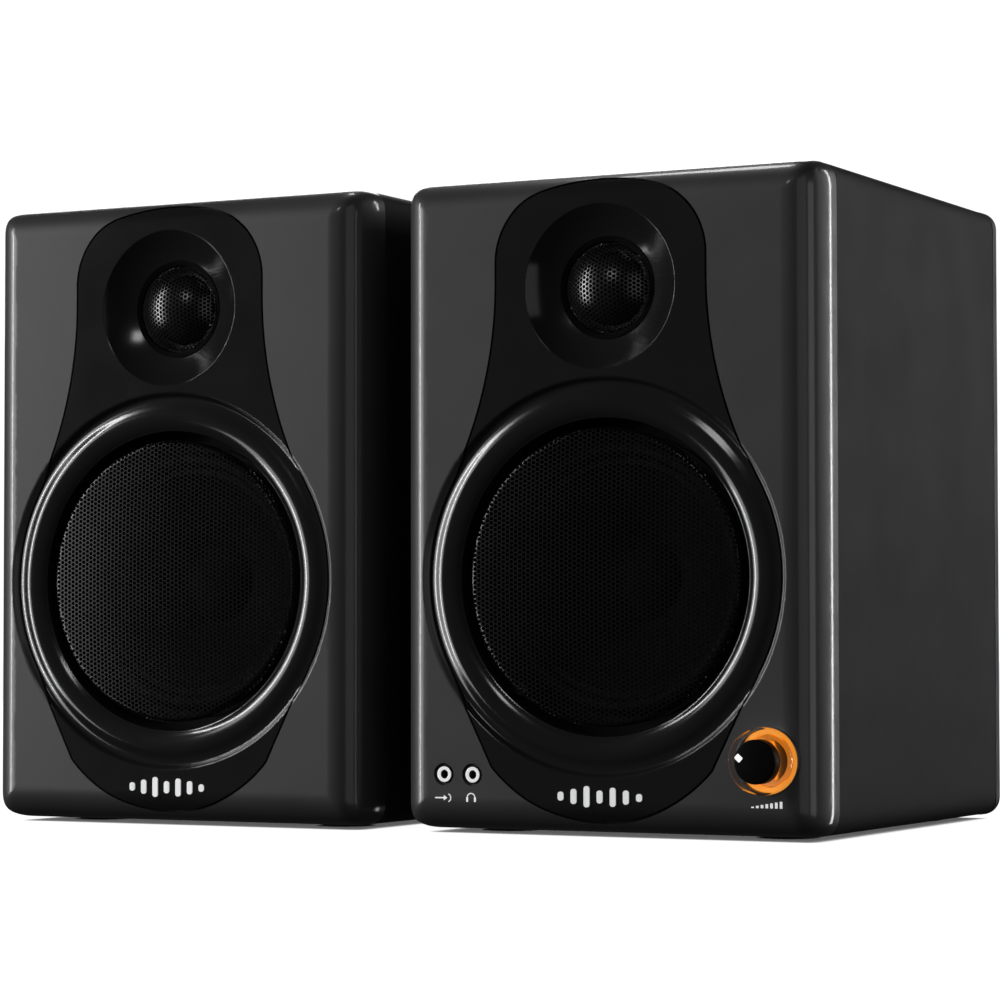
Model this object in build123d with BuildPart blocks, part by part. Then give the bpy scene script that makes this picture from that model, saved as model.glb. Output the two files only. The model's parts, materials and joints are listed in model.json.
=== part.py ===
from build123d import *
import os
from collections import namedtuple
from math import cos, radians, sin, sqrt

# A pair of powered two-way desktop speakers. The right one holds the amplifier and the controls,
# the left one is passive. Millimetres, +Z up, -Y is the front. The origin is on the desk, at the
# bottom centre of the pair's bounding box. "Depth" is measured backwards from a speaker's front.

os.makedirs("parts", exist_ok=True)

# ------------------------------------------------------------------ driving dimensions
CABINET_W = 166
CABINET_H = 240
CABINET_D = 194
FOOT_H = 1.5
PITCH = 182  # distance between the speakers' middles
LEFT_STEP = 3  # the left speaker stands this much further forward

FRONT_D = 22.5  # depth of the moulded front
PANEL_T = 5  # rear panel
WALL = 9  # wood board
CORNER_R = 7.2
EDGE_R = 12.5  # front edges

PLATE_GAP = 0.5  # seam between the inset plate and the front
PLATE_T = 4
LEDGE_D = 8.0
BAFFLE_T = 10.9
BAFFLE_WALL = 4

WOOFER_Z = FOOT_H + 92.4
TWEETER_Z = FOOT_H + 197.2

# inset plate outline
NECK_X = 42
FLARE_Z = FOOT_H + 200
SHOULDER_Z = FOOT_H + 207.3
SHOULDER_R = 27
CROWN_Z = FOOT_H + 236.4
RING_R = 70
FOOT_ARC_R = 59
FOOT_ARC_Z = FOOT_H + 4.1
FLANK_TILT = 26.6  # degrees from upright

# ring round the woofer, as radius and depth
MOAT_R = 74.2
VALLEY_D = 3.0
CREST_R = 63.5
CREST_D = 0.7
OPENING_R = 57.5
LIP_D = 2.7

# tweeter dish
DISH_R = 30
THROAT_R = 17
THROAT_D = 7.7
BOWL_R = 46

# woofer
FLANGE_D = 19.5
FLANGE_T = 3
FLANGE_R = 62
GRILLE_R = 54
GRILLE_T = 0.9
CONE_R = 43
COIL_R = 13.0
COIL_OUT_R = COIL_R + 0.2
POLE_R = 12.0
GAP_R = 14.2
MAGNET_R = 35
WOOFER_SCREW_R = 58

# tweeter
TWEETER_FACE_D = 12
TWEETER_CAP_R = 16.2
DOME_R = 12.5

# controls, only on the right speaker
JACK_X = (-63.5, -51.8)
JACK_Z = FOOT_H + 20.6
JACK_BORE_R = 1.8
KNOB_X = 65
KNOB_Z = FOOT_H + 27.5
KNOB_OUT = 12
POINTER_T = 0.15
KNOB_R = 7.8
COLLAR_R = 11.9
COLLAR_OUT = 7.4
LIGHT_R = 11.2
SHAFT_R = 2.95
BOARD_D = 20.4

# rear
PORT_Z = FOOT_H + 197
PORT_R = 16
PORT_T = 2
PORT_L = 84
AMP_W = 120
AMP_H = 140
AMP_T = 2.5
AMP_Z = 90
INLET_X = 34
INLET_Z = 54
SOCKET_X = -34
RCA_Z = (44, 60)
RCA_OUT = 9
USB_Z = 86
TERMINAL_Z_RIGHT = 128
TERMINAL_Z_LEFT = 70
RCA_TIP_D = CABINET_D + AMP_T + RCA_OUT

FRONT_Y = (KNOB_OUT + POINTER_T - RCA_TIP_D) / 2  # centres the pair's bounding box on Y = 0

Speaker = namedtuple("Speaker", "name x front")
RIGHT = Speaker("right", PITCH / 2, FRONT_Y)
LEFT = Speaker("left", -PITCH / 2, FRONT_Y - LEFT_STEP)


# ------------------------------------------------------------------ helpers
def facing(speaker, depth):
    """Plane parallel to the front. Sketch x is across, y is height above the desk, and an
    extrusion with a positive amount goes forward."""
    return Plane(origin=(speaker.x, speaker.front + depth, 0), x_dir=(1, 0, 0), z_dir=(0, -1, 0))


def profile(speaker, x, z):
    """Plane through a front-to-back axis. Sketch x is the radius and sketch y the depth."""
    return Plane(origin=(speaker.x + x, speaker.front, z), x_dir=(1, 0, 0), z_dir=(0, 0, 1))


def side_on(speaker, x):
    """Plane seen from the right. Sketch x is the depth and sketch y the height."""
    return Plane(origin=(speaker.x + x, speaker.front, 0), x_dir=(0, 1, 0), z_dir=(1, 0, 0))


def axis_at(speaker, x, z):
    return Axis((speaker.x + x, speaker.front, z), (0, 1, 0))


def finish(builder, node):
    builder.part.label = node
    export_step(builder.part, f"parts/{node}.step")


def turn(speaker, x, z, points, mode=Mode.ADD):
    """Revolve a closed polygon of (radius, depth) points about a front-to-back axis."""
    with BuildSketch(profile(speaker, x, z)) as section:
        with BuildLine():
            Polyline(*points, close=True)
        make_face()
    revolve(section.sketch, axis=axis_at(speaker, x, z), mode=mode)


def disc(speaker, spots, radius, depth, back, mode=Mode.ADD):
    """Cylinders from one depth to another, at (x, z) spots."""
    with BuildSketch(facing(speaker, back)) as circles:
        with Locations(*spots):
            Circle(radius)
    extrude(circles.sketch, amount=back - depth, mode=mode)


def slab(speaker, x, z, width, height, depth, back, radius=0.0, mode=Mode.ADD):
    """A box from one depth to another, with its upright-to-front edges rounded."""
    with BuildSketch(facing(speaker, back)) as shape:
        with Locations((x, z)):
            if radius:
                RectangleRounded(width, height, radius)
            else:
                Rectangle(width, height)
    extrude(shape.sketch, amount=back - depth, mode=mode)


def dome_radius(half_width, rise):
    return (half_width**2 + rise**2) / (2 * rise)


# ------------------------------------------------------------------ shared outlines
def plate_outline(grow=0.0):
    """Half outline of the inset plate on its right side, from crown to foot: crown, shoulder,
    neck, flare, ring, flank and foot, each tangent to the next. It is mirrored and filled."""
    flare_r = (NECK_X**2 + (FLARE_Z - WOOFER_Z) ** 2 - RING_R**2) / (2 * (RING_R - NECK_X))
    flare_x = NECK_X + flare_r
    shoulder_x = NECK_X - SHOULDER_R
    rise = CROWN_Z - SHOULDER_Z
    crown_r = (shoulder_x**2 + rise**2 - SHOULDER_R**2) / (2 * (rise - SHOULDER_R))
    crown_z = CROWN_Z - crown_r

    to_shoulder = Vector(shoulder_x, SHOULDER_Z - crown_z).normalized()
    crown_end = Vector(0, crown_z) + to_shoulder * (crown_r + grow)
    middle = (to_shoulder + Vector(1, 0)).normalized()
    shoulder_mid = Vector(shoulder_x, SHOULDER_Z) + middle * (SHOULDER_R + grow)
    to_flare = Vector(flare_x, FLARE_Z - WOOFER_Z).normalized()
    ring_top = Vector(0, WOOFER_Z) + to_flare * (RING_R + grow)
    bow = (Vector(-1, 0) - to_flare).normalized()
    flare_mid = Vector(flare_x, FLARE_Z) + bow * (flare_r - grow)

    tilt = radians(FLANK_TILT)
    out = Vector(cos(tilt), -sin(tilt))
    down = Vector(-sin(tilt), -cos(tilt))
    ring_low = Vector(0, WOOFER_Z) + out * (RING_R + grow)
    foot_centre = Vector(0, FOOT_ARC_Z + FOOT_ARC_R)
    to_centre = foot_centre - ring_low
    along = to_centre.dot(down)
    off = to_centre.cross(down).length
    reach = along + sqrt((FOOT_ARC_R + grow) ** 2 - off**2)
    flank_end = ring_low + down * reach
    foot_mid = foot_centre + ((flank_end - foot_centre).normalized() + Vector(0, -1)).normalized() * (
        FOOT_ARC_R + grow
    )
    with BuildLine() as half:
        crown_mid = Vector(0, crown_z) + (to_shoulder + Vector(0, 1)).normalized() * (crown_r + grow)
        ThreePointArc((0, CROWN_Z + grow), crown_mid, crown_end)
        ThreePointArc(crown_end, shoulder_mid, (NECK_X + grow, SHOULDER_Z))
        Line((NECK_X + grow, SHOULDER_Z), (NECK_X + grow, FLARE_Z))
        ThreePointArc((NECK_X + grow, FLARE_Z), flare_mid, ring_top)
        ThreePointArc(ring_top, (RING_R + grow, WOOFER_Z), ring_low)
        Line(ring_low, flank_end)
        ThreePointArc(flank_end, foot_mid, (0, FOOT_ARC_Z - grow))
        mirror(about=Plane.YZ)
    return half.line


def plate_prism(speaker, grow, depth, back):
    """The inset plate's outline, as a prism."""
    with BuildPart() as prism:
        with BuildSketch(facing(speaker, back)):
            add(plate_outline(grow))
            make_face()
        extrude(amount=back - depth)
    return prism.part


def front_block(speaker):
    """The moulded front as if it were one solid: rounded edges, ring and dish."""
    with BuildPart() as block:
        slab(speaker, 0, FOOT_H + CABINET_H / 2, CABINET_W, CABINET_H, 0, FRONT_D)
        fillet(block.faces().sort_by(Axis.Y)[0].edges(), EDGE_R)
        fillet(block.edges().filter_by(Axis.Y), CORNER_R)
        with BuildSketch(profile(speaker, 0, WOOFER_Z)):
            with BuildLine():
                moat = Spline((MOAT_R, 0), (RING_R, VALLEY_D), tangents=[(-1, 0), (-1, 0)])
                rise = Spline(moat @ 1, (CREST_R, CREST_D), tangents=[(-1, 0), (-1, 0)])
                lip = TangentArc(rise @ 1, (OPENING_R, LIP_D), tangent=(-1, 0))
                Polyline(
                    lip @ 1, (OPENING_R, 2 * FRONT_D), (0, 2 * FRONT_D), (0, -10), (MOAT_R, -10), moat @ 0
                )
            make_face()
        revolve(axis=axis_at(speaker, 0, WOOFER_Z), mode=Mode.SUBTRACT)
        with BuildSketch(profile(speaker, 0, TWEETER_Z)):
            with BuildLine():
                bowl = RadiusArc((DISH_R, 0), (THROAT_R, THROAT_D), -BOWL_R)
                Polyline(
                    bowl @ 1, (THROAT_R, 2 * FRONT_D), (0, 2 * FRONT_D), (0, -10), (DISH_R, -10), bowl @ 0
                )
            make_face()
        revolve(axis=axis_at(speaker, 0, TWEETER_Z), mode=Mode.SUBTRACT)
    return block.part


# ------------------------------------------------------------------ cabinet and front
def rear_screw_spots():
    wall_x = CABINET_W / 2 - WALL / 2
    low = FOOT_H + WALL / 2
    high = FOOT_H + CABINET_H - WALL / 2
    sides = [(x, z) for x in (-wall_x, wall_x) for z in (22, 121, 220)]
    return sides + [(0, low), (0, high)]


def woofer_screw_spots():
    reach = WOOFER_SCREW_R * sin(radians(45))
    return [(x, WOOFER_Z + z) for x in (-reach, reach) for z in (-reach, reach)]


def make_cabinet(speaker):
    back = CABINET_D - PANEL_T
    with BuildPart() as cabinet:
        middle = FOOT_H + CABINET_H / 2
        slab(speaker, 0, middle, CABINET_W, CABINET_H, FRONT_D, back, CORNER_R)
        slab(
            speaker, 0, middle, CABINET_W - 2 * WALL, CABINET_H - 2 * WALL,
            FRONT_D + WALL, back + 1, 2, Mode.SUBTRACT,
        )
        disc(speaker, [(0, WOOFER_Z)], FLANGE_R - 10, FRONT_D - 1, FRONT_D + WALL + 1, Mode.SUBTRACT)
        disc(speaker, [(0, TWEETER_Z)], 21, FRONT_D - 1, FRONT_D + WALL + 1, Mode.SUBTRACT)
        disc(speaker, woofer_screw_spots(), 1.6, FRONT_D - 1, FRONT_D + 8, Mode.SUBTRACT)
        disc(speaker, rear_screw_spots(), 1.9, back - 16, back + 1, Mode.SUBTRACT)
        if speaker is RIGHT:
            # the leads from the front controls pass here
            disc(speaker, [(-40, 40)], 7, FRONT_D - 1, FRONT_D + WALL + 1, Mode.SUBTRACT)
    finish(cabinet, f"{speaker.name}_cabinet")


def make_front_baffle(speaker):
    block = front_block(speaker)
    opening = plate_prism(speaker, PLATE_GAP / 2, -10, FRONT_D + 1)
    window = plate_prism(speaker, -4, LEDGE_D - 1, BAFFLE_T + 1)
    ledge = plate_prism(speaker, 1, LEDGE_D, BAFFLE_T)
    with BuildPart() as baffle:
        add(block)
        slab(
            speaker, 0, FOOT_H + CABINET_H / 2,
            CABINET_W - 2 * BAFFLE_WALL, CABINET_H - 2 * BAFFLE_WALL,
            BAFFLE_T, FRONT_D + 1, CORNER_R - BAFFLE_WALL, Mode.SUBTRACT,
        )
        add(opening, mode=Mode.SUBTRACT)
        add(ledge)
        add(window, mode=Mode.SUBTRACT)
        if speaker is RIGHT:
            jack_spots = [(x, JACK_Z) for x in JACK_X]
            disc(speaker, jack_spots, 3.3, -1, BAFFLE_T + 1, Mode.SUBTRACT)
            disc(speaker, jack_spots, 4.1, -1, 1.2, Mode.SUBTRACT)
            knob = [(KNOB_X, KNOB_Z)]
            disc(speaker, knob, LIGHT_R + 0.8, -0.6, BAFFLE_T)
            disc(speaker, knob, LIGHT_R + 0.1, -1, 3, Mode.SUBTRACT)
            disc(speaker, knob, 4.6, 2, BAFFLE_T + 1, Mode.SUBTRACT)
    finish(baffle, f"{speaker.name}_front_baffle")


def make_driver_plate(speaker):
    block = front_block(speaker)
    shape = plate_prism(speaker, -PLATE_GAP / 2, -10, FRONT_D)
    behind = block.moved(Location((0, PLATE_T, 0)))
    with BuildPart() as plate:
        add(block)
        add(shape, mode=Mode.INTERSECT)
        add(behind, mode=Mode.SUBTRACT)
        # skirt round the woofer opening
        turn(
            speaker, 0, WOOFER_Z,
            [(OPENING_R, LIP_D + 2), (OPENING_R + 2, LIP_D + 2), (OPENING_R + 2, 16.5), (OPENING_R, 16.5)],
        )
    finish(plate, f"{speaker.name}_driver_plate")


def make_badge(speaker):
    """Seven upright bars, the height of each after a sound-level picture."""
    heights = (3.2, 5.4, 7.6, 4.6, 6.8, 5.0, 2.8)
    step = 5.2
    with BuildPart() as badge:
        for i, height in enumerate(heights):
            x = (i - (len(heights) - 1) / 2) * step
            slab(speaker, x, FOOT_H + 13.6, 2.2, height, -0.5, 0, 1.0)
    finish(badge, f"{speaker.name}_badge")


# ------------------------------------------------------------------ woofer
def make_woofer_grille(speaker):
    """A shallow domed cup; its skirt stands on the basket's flange."""
    apex = 0.6
    shoulder = 2.6
    knee = 1.6
    rise = shoulder - apex
    flat_r = GRILLE_R - knee
    with BuildPart() as grille:
        with BuildSketch(profile(speaker, 0, WOOFER_Z)):
            with BuildLine():
                outer = RadiusArc((0, apex), (flat_r, shoulder), -dome_radius(flat_r, rise))
                knee_arc = RadiusArc(outer @ 1, (GRILLE_R, shoulder + knee + 0.6), -2.4)
                inner = RadiusArc(
                    (0, apex + GRILLE_T), (flat_r - 0.4, shoulder + GRILLE_T),
                    -dome_radius(flat_r - 0.4, rise),
                )
                Polyline(
                    knee_arc @ 1, (GRILLE_R, FLANGE_D), (GRILLE_R - GRILLE_T, FLANGE_D),
                    (GRILLE_R - GRILLE_T, shoulder + knee + 1.2), inner @ 1,
                )
                Line((0, apex), (0, apex + GRILLE_T))
            make_face()
        revolve(axis=axis_at(speaker, 0, WOOFER_Z))
    finish(grille, f"{speaker.name}_woofer_grille")


def make_woofer_basket(speaker):
    back = FLANGE_D + FLANGE_T
    with BuildPart() as basket:
        turn(
            speaker, 0, WOOFER_Z,
            [
                (50, FLANGE_D), (FLANGE_R, FLANGE_D), (FLANGE_R, back), (51, back),
                (39, 46), (39, 48.5), (32, 60), (32, 65), (GAP_R, 65), (GAP_R, 60),
                (29.5, 60), (35.5, 48.5), (35.5, 46), (37.4, 46), (49, back),
            ],
        )
        # four windows between the legs
        with BuildSketch(side_on(speaker, -FLANGE_R - 5)):
            with Locations((34.5, WOOFER_Z)):
                Rectangle(15, 44)
        extrude(amount=2 * (FLANGE_R + 5), mode=Mode.SUBTRACT)
        with BuildSketch(Plane(origin=(speaker.x, speaker.front, WOOFER_Z - FLANGE_R - 5))):
            with Locations((0, 34.5)):
                Rectangle(44, 15)
        extrude(amount=2 * (FLANGE_R + 5), mode=Mode.SUBTRACT)
        disc(speaker, woofer_screw_spots(), 1.7, FLANGE_D - 1, back + 1, Mode.SUBTRACT)
    finish(basket, f"{speaker.name}_woofer_basket")


def make_woofer_surround(speaker):
    """Half-roll edge: a flat rim on the flange, a roll, and a flat hem over the cone's edge."""
    rim = FLANGE_D - 0.8
    with BuildPart() as surround:
        with BuildSketch(profile(speaker, 0, WOOFER_Z)):
            with BuildLine():
                roll = ThreePointArc((50.0, rim), (47.0, rim - 3.6), (44.0, rim))
                under = ThreePointArc((44.8, FLANGE_D), (47.0, rim - 2.6), (49.2, FLANGE_D))
                Polyline(roll @ 1, (41.5, rim), (41.5, FLANGE_D), under @ 0)
                Polyline(under @ 1, (52.6, FLANGE_D), (52.6, rim), roll @ 0)
            make_face()
        revolve(axis=axis_at(speaker, 0, WOOFER_Z))
    finish(surround, f"{speaker.name}_woofer_surround")


def make_woofer_cone(speaker):
    """Paper cone with its dust cap."""
    edge = FLANGE_D + 0.3
    neck = 39
    cap_r = 17
    cap_d = 37
    cap_top = 31.5
    cap = dome_radius(cap_r, cap_d - cap_top)
    with BuildPart() as cone:
        with BuildSketch(profile(speaker, 0, WOOFER_Z)):
            Polygon(
                (CONE_R, edge), (CONE_R, edge + 1), (COIL_OUT_R, neck + 1), (COIL_OUT_R, neck - 1),
                align=None,
            )
            with BuildLine():
                outer = RadiusArc((0, cap_top), (cap_r, cap_d), -cap)
                inner = RadiusArc((0, cap_top + 0.8), (cap_r - 0.8, cap_d + 0.8), -cap)
                Line(outer @ 1, inner @ 1)
                Line(outer @ 0, inner @ 0)
            make_face()
        revolve(axis=axis_at(speaker, 0, WOOFER_Z))
    finish(cone, f"{speaker.name}_woofer_cone")


def make_voice_coil(speaker):
    with BuildPart() as coil:
        turn(
            speaker, 0, WOOFER_Z,
            [
                (COIL_R - 0.3, 37.5), (COIL_OUT_R, 37.5), (COIL_OUT_R, 58), (COIL_R + 0.7, 58),
                (COIL_R + 0.7, 68), (COIL_R - 0.3, 68),
            ],
        )
    finish(coil, f"{speaker.name}_voice_coil")


def make_spider(speaker):
    """Corrugated disc, from the coil to the basket's ledge."""
    inner = COIL_OUT_R + 0.3
    outer = 35.5
    waves = 4
    step = (outer - inner) / (2 * waves)
    front = [(inner + i * step, 46.4 + 0.9 * (-1) ** i) for i in range(2 * waves + 1)]
    back = [(r, d + 0.7) for r, d in reversed(front)]
    with BuildPart() as spider:
        turn(speaker, 0, WOOFER_Z, front + back)
    finish(spider, f"{speaker.name}_spider")


def make_woofer_magnet(speaker):
    with BuildPart() as magnet:
        turn(speaker, 0, WOOFER_Z, [(17, 65), (MAGNET_R, 65), (MAGNET_R, 77), (17, 77)])
        chamfer(magnet.edges().filter_by(GeomType.CIRCLE).group_by(SortBy.RADIUS)[-1], 0.8)
    finish(magnet, f"{speaker.name}_woofer_magnet")


def make_woofer_yoke(speaker):
    with BuildPart() as yoke:
        turn(
            speaker, 0, WOOFER_Z,
            [(4, 59), (POLE_R, 59), (POLE_R, 77), (MAGNET_R - 2, 77), (MAGNET_R - 2, 82), (4, 82)],
        )
    finish(yoke, f"{speaker.name}_woofer_yoke")


# ------------------------------------------------------------------ tweeter
def make_tweeter_grille(speaker):
    apex = -1.0
    rim = 7.5
    thick = 0.8
    inner_r = TWEETER_CAP_R - thick
    with BuildPart() as grille:
        with BuildSketch(profile(speaker, 0, TWEETER_Z)):
            with BuildLine():
                outer = RadiusArc((0, apex), (TWEETER_CAP_R, rim), -dome_radius(TWEETER_CAP_R, rim - apex))
                inner_bend = dome_radius(inner_r, rim - apex - thick)
                inner = RadiusArc((0, apex + thick), (inner_r, rim), -inner_bend)
                Polyline(outer @ 1, (TWEETER_CAP_R, TWEETER_FACE_D), (inner_r, TWEETER_FACE_D), inner @ 1)
                Line(outer @ 0, inner @ 0)
            make_face()
        revolve(axis=axis_at(speaker, 0, TWEETER_Z))
    finish(grille, f"{speaker.name}_tweeter_grille")


def make_tweeter_body(speaker):
    """Faceplate, front plate, magnet and cup in one housing, with the dome's gap cut in."""
    face = TWEETER_FACE_D
    with BuildPart() as body:
        turn(
            speaker, 0, TWEETER_Z,
            [
                (0, face + 1.4), (11.4, face + 1.4), (11.4, face + 11), (13.6, face + 11), (13.6, face),
                (24, face), (24, face + 2.5), (19.5, face + 2.5), (19.5, 33), (16, 33), (16, 40), (0, 40),
            ],
        )
    finish(body, f"{speaker.name}_tweeter_body")


def make_tweeter_dome(speaker):
    apex = 8.3
    rim = 12.3
    thick = 0.5
    inner_r = DOME_R - thick
    with BuildPart() as dome:
        with BuildSketch(profile(speaker, 0, TWEETER_Z)):
            with BuildLine():
                outer = RadiusArc((0, apex), (DOME_R, rim), -dome_radius(DOME_R, rim - apex))
                inner_bend = dome_radius(inner_r, rim - apex - thick)
                inner = RadiusArc((0, apex + thick), (inner_r, rim), -inner_bend)
                Polyline(outer @ 1, (DOME_R, 20), (inner_r, 20), inner @ 1)
                Line(outer @ 0, inner @ 0)
            make_face()
        revolve(axis=axis_at(speaker, 0, TWEETER_Z))
    finish(dome, f"{speaker.name}_tweeter_dome")


# ------------------------------------------------------------------ rear
def amp_screw_spots():
    x = AMP_W / 2 - 4.5
    z = AMP_H / 2 - 4.5
    return [(sx * x, AMP_Z + sz * z) for sx in (-1, 1) for sz in (-1, 0, 1)]


def make_rear_panel(speaker):
    inside = CABINET_D - PANEL_T
    past = CABINET_D + 1
    with BuildPart() as panel:
        slab(speaker, 0, FOOT_H + CABINET_H / 2, CABINET_W, CABINET_H, inside, CABINET_D, CORNER_R)
        chamfer(panel.faces().sort_by(Axis.Y)[-1].edges(), 0.8)
        disc(speaker, [(0, PORT_Z)], PORT_R + PORT_T + 0.1, inside - 1, past, Mode.SUBTRACT)
        disc(speaker, rear_screw_spots(), 2.0, inside - 1, past, Mode.SUBTRACT)
        if speaker is RIGHT:
            slab(speaker, 0, AMP_Z, AMP_W - 18, AMP_H - 18, inside - 1, past, 3, Mode.SUBTRACT)
            disc(speaker, amp_screw_spots(), 1.5, inside - 1, past, Mode.SUBTRACT)
        else:
            slab(speaker, 0, TERMINAL_Z_LEFT, 52.6, 26.6, inside - 1, past, 1, Mode.SUBTRACT)
    finish(panel, f"{speaker.name}_rear_panel")


def make_port_tube(speaker):
    """Reflex tube with a rounded mouth outside the rear panel."""
    flare_r = 5.5
    mouth = CABINET_D + 2.5
    start = CABINET_D - PORT_L
    outer = PORT_R + PORT_T
    with BuildPart() as port:
        with BuildSketch(profile(speaker, 0, PORT_Z)):
            with BuildLine():
                flare = CenterArc((PORT_R + flare_r, mouth - flare_r), flare_r, 90, 90)
                Polyline(
                    flare @ 0, (PORT_R + 7.5, mouth), (PORT_R + 7.5, CABINET_D), (outer, CABINET_D),
                    (outer, start), (PORT_R, start), flare @ 1,
                )
            make_face()
        revolve(axis=axis_at(speaker, 0, PORT_Z))
    finish(port, f"{speaker.name}_port_tube")


def make_feet(speaker):
    with BuildPart() as feet:
        with BuildSketch(Plane(origin=(speaker.x, speaker.front, 0))):
            with Locations(*[(x, d) for x in (-56, 56) for d in (40, 166)]):
                Circle(9)
        extrude(amount=FOOT_H)
    finish(feet, f"{speaker.name}_feet")


def screw_group(speaker, spots, face, shank, head_r, head_t, length):
    """Pan-head screws driven in from the back; face is the depth of the surface under the head."""
    disc(speaker, spots, head_r, face, face + head_t)
    disc(speaker, spots, shank, face - length, face)


def make_screws(speaker):
    with BuildPart() as screws:
        screw_group(speaker, rear_screw_spots(), CABINET_D, 1.7, 3.4, 1.8, 20)
        disc(speaker, woofer_screw_spots(), 2.6, FLANGE_D - 1.6, FLANGE_D)
        disc(speaker, woofer_screw_spots(), 1.4, FLANGE_D, FLANGE_D + 10)
        if speaker is RIGHT:
            screw_group(speaker, amp_screw_spots(), CABINET_D + AMP_T, 1.3, 2.8, 1.6, 7)
    finish(screws, f"{speaker.name}_screws")


LEVER_DX = 13  # the two levers stand this far each side of the block's middle
LEVER_W = 16
LEVER_T = 2.4
LEVER_PIVOT_UP = 7
LEVER_PIVOT_IN = 2
LEVER_PIN_R = 1.0


def terminal_site(speaker):
    """(height of the block's middle, depth of the surface that it is mounted on)"""
    if speaker is RIGHT:
        return TERMINAL_Z_RIGHT, CABINET_D + AMP_T
    return TERMINAL_Z_LEFT, CABINET_D


def make_terminal_block(speaker):
    z, face = terminal_site(speaker)
    levers = (-LEVER_DX, LEVER_DX)
    with BuildPart() as block:
        slab(speaker, 0, z, 60, 32, face, face + 2, 3)
        slab(speaker, 0, z, 52, 26, face - 14, face)
        for x in levers:
            slab(speaker, x, z + 1.5, LEVER_W + 0.8, 17, face - 10, face + 3, 0.0, Mode.SUBTRACT)
        disc(speaker, [(x, z - 10) for x in levers], 1.6, face - 9, face + 3, Mode.SUBTRACT)
        for x in levers:
            with BuildSketch(side_on(speaker, x - LEVER_W / 2 - 2.2)):
                with Locations((face - LEVER_PIVOT_IN, z + LEVER_PIVOT_UP)):
                    Circle(LEVER_PIN_R + 0.05)
            extrude(amount=LEVER_W + 4.4, mode=Mode.SUBTRACT)
    finish(block, f"{speaker.name}_terminal_block")


def make_clip(speaker, x, node):
    """Thumb lever: a barrel on two pins at the top, a flat tongue, and a lip to press."""
    z, face = terminal_site(speaker)
    pivot_d = face - LEVER_PIVOT_IN
    pivot_z = z + LEVER_PIVOT_UP
    tip = z - 4.5
    with BuildPart() as clip:
        with BuildSketch(side_on(speaker, x - LEVER_W / 2)):
            with Locations((pivot_d, pivot_z)):
                Circle(1.7)
            with BuildLine():
                Polyline(
                    (pivot_d - 1, pivot_z + 1), (pivot_d + 4, pivot_z - 1.5), (pivot_d + 4.5, tip + 3),
                    (pivot_d + 7, tip), (pivot_d + 4.2, tip), (pivot_d + 1.6, tip + 4),
                    (pivot_d - 1.2, pivot_z - 1), close=True,
                )
            make_face()
        extrude(amount=LEVER_W)
        with BuildSketch(side_on(speaker, x - LEVER_W / 2 - 1.7)):
            with Locations((pivot_d, pivot_z)):
                Circle(LEVER_PIN_R)
        extrude(amount=LEVER_W + 3.4)
    finish(clip, node)


# ------------------------------------------------------------------ controls on the right front
def make_volume_knob(speaker):
    with BuildPart() as knob:
        disc(speaker, [(KNOB_X, KNOB_Z)], KNOB_R, -KNOB_OUT, -0.3)
        chamfer(knob.edges().filter_by(GeomType.CIRCLE).sort_by(Axis.Y)[0], 0.7)
        disc(speaker, [(KNOB_X, KNOB_Z)], SHAFT_R, -9, 0, Mode.SUBTRACT)
    finish(knob, "volume_knob")


def make_knob_collar(speaker):
    with BuildPart() as collar:
        turn(
            speaker, KNOB_X, KNOB_Z,
            [(KNOB_R, -COLLAR_OUT), (COLLAR_R, -COLLAR_OUT), (COLLAR_R, -1), (KNOB_R, -1)],
        )
        fillet(collar.edges().filter_by(GeomType.CIRCLE).group_by(SortBy.RADIUS)[-1], 0.5)
    finish(collar, "knob_collar")


def make_knob_pointer(speaker):
    """Small white mark on the knob's face, just above nine o'clock."""
    out = 0.76 * KNOB_R
    turned = radians(167)
    spot = Location((KNOB_X + out * cos(turned), KNOB_Z + out * sin(turned), 0), (0, 0, -42))
    with BuildPart() as pointer:
        with BuildSketch(facing(speaker, -KNOB_OUT)) as mark:
            with Locations(spot):
                RectangleRounded(2.5, 2.1, 0.3)
        extrude(mark.sketch, amount=POINTER_T)
    finish(pointer, "knob_pointer")


def make_light_ring(speaker):
    with BuildPart() as ring:
        turn(speaker, KNOB_X, KNOB_Z, [(4.8, 0.1), (LIGHT_R, 0.1), (LIGHT_R, 2.9), (4.8, 2.9)])
    finish(ring, "light_ring")


def make_volume_shaft(speaker):
    with BuildPart() as shaft:
        disc(speaker, [(KNOB_X, KNOB_Z)], SHAFT_R, -9, 15)
    finish(shaft, "volume_shaft")


def make_volume_pot(speaker):
    spot = [(KNOB_X, KNOB_Z)]
    with BuildPart() as pot:
        slab(speaker, KNOB_X, KNOB_Z, 17, 17, 13, BOARD_D - 0.1, 1)
        disc(speaker, spot, 4.4, 3.2, 13)
        disc(speaker, spot, SHAFT_R + 0.05, 3, 16, Mode.SUBTRACT)
    finish(pot, "volume_pot")


def make_jack(speaker, x, node):
    """Panel socket for a 3.5 mm plug: bright barrel in front, box behind."""
    spot = [(x, JACK_Z)]
    with BuildPart() as jack:
        disc(speaker, spot, 3.2, 0.4, BAFFLE_T + 0.1)
        slab(speaker, x, JACK_Z, 9, 11, BAFFLE_T + 0.1, BOARD_D - 0.1, 0.6)
        disc(speaker, spot, JACK_BORE_R, 0, 15, Mode.SUBTRACT)
        chamfer(jack.edges().filter_by(GeomType.CIRCLE).sort_by(Axis.Y)[0:2], 0.3)
    finish(jack, node)


def make_control_board(speaker):
    with BuildPart() as board:
        slab(speaker, 0, 20, 148, 21, BOARD_D, BOARD_D + 1.6, 1)
    finish(board, "control_board")


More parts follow.
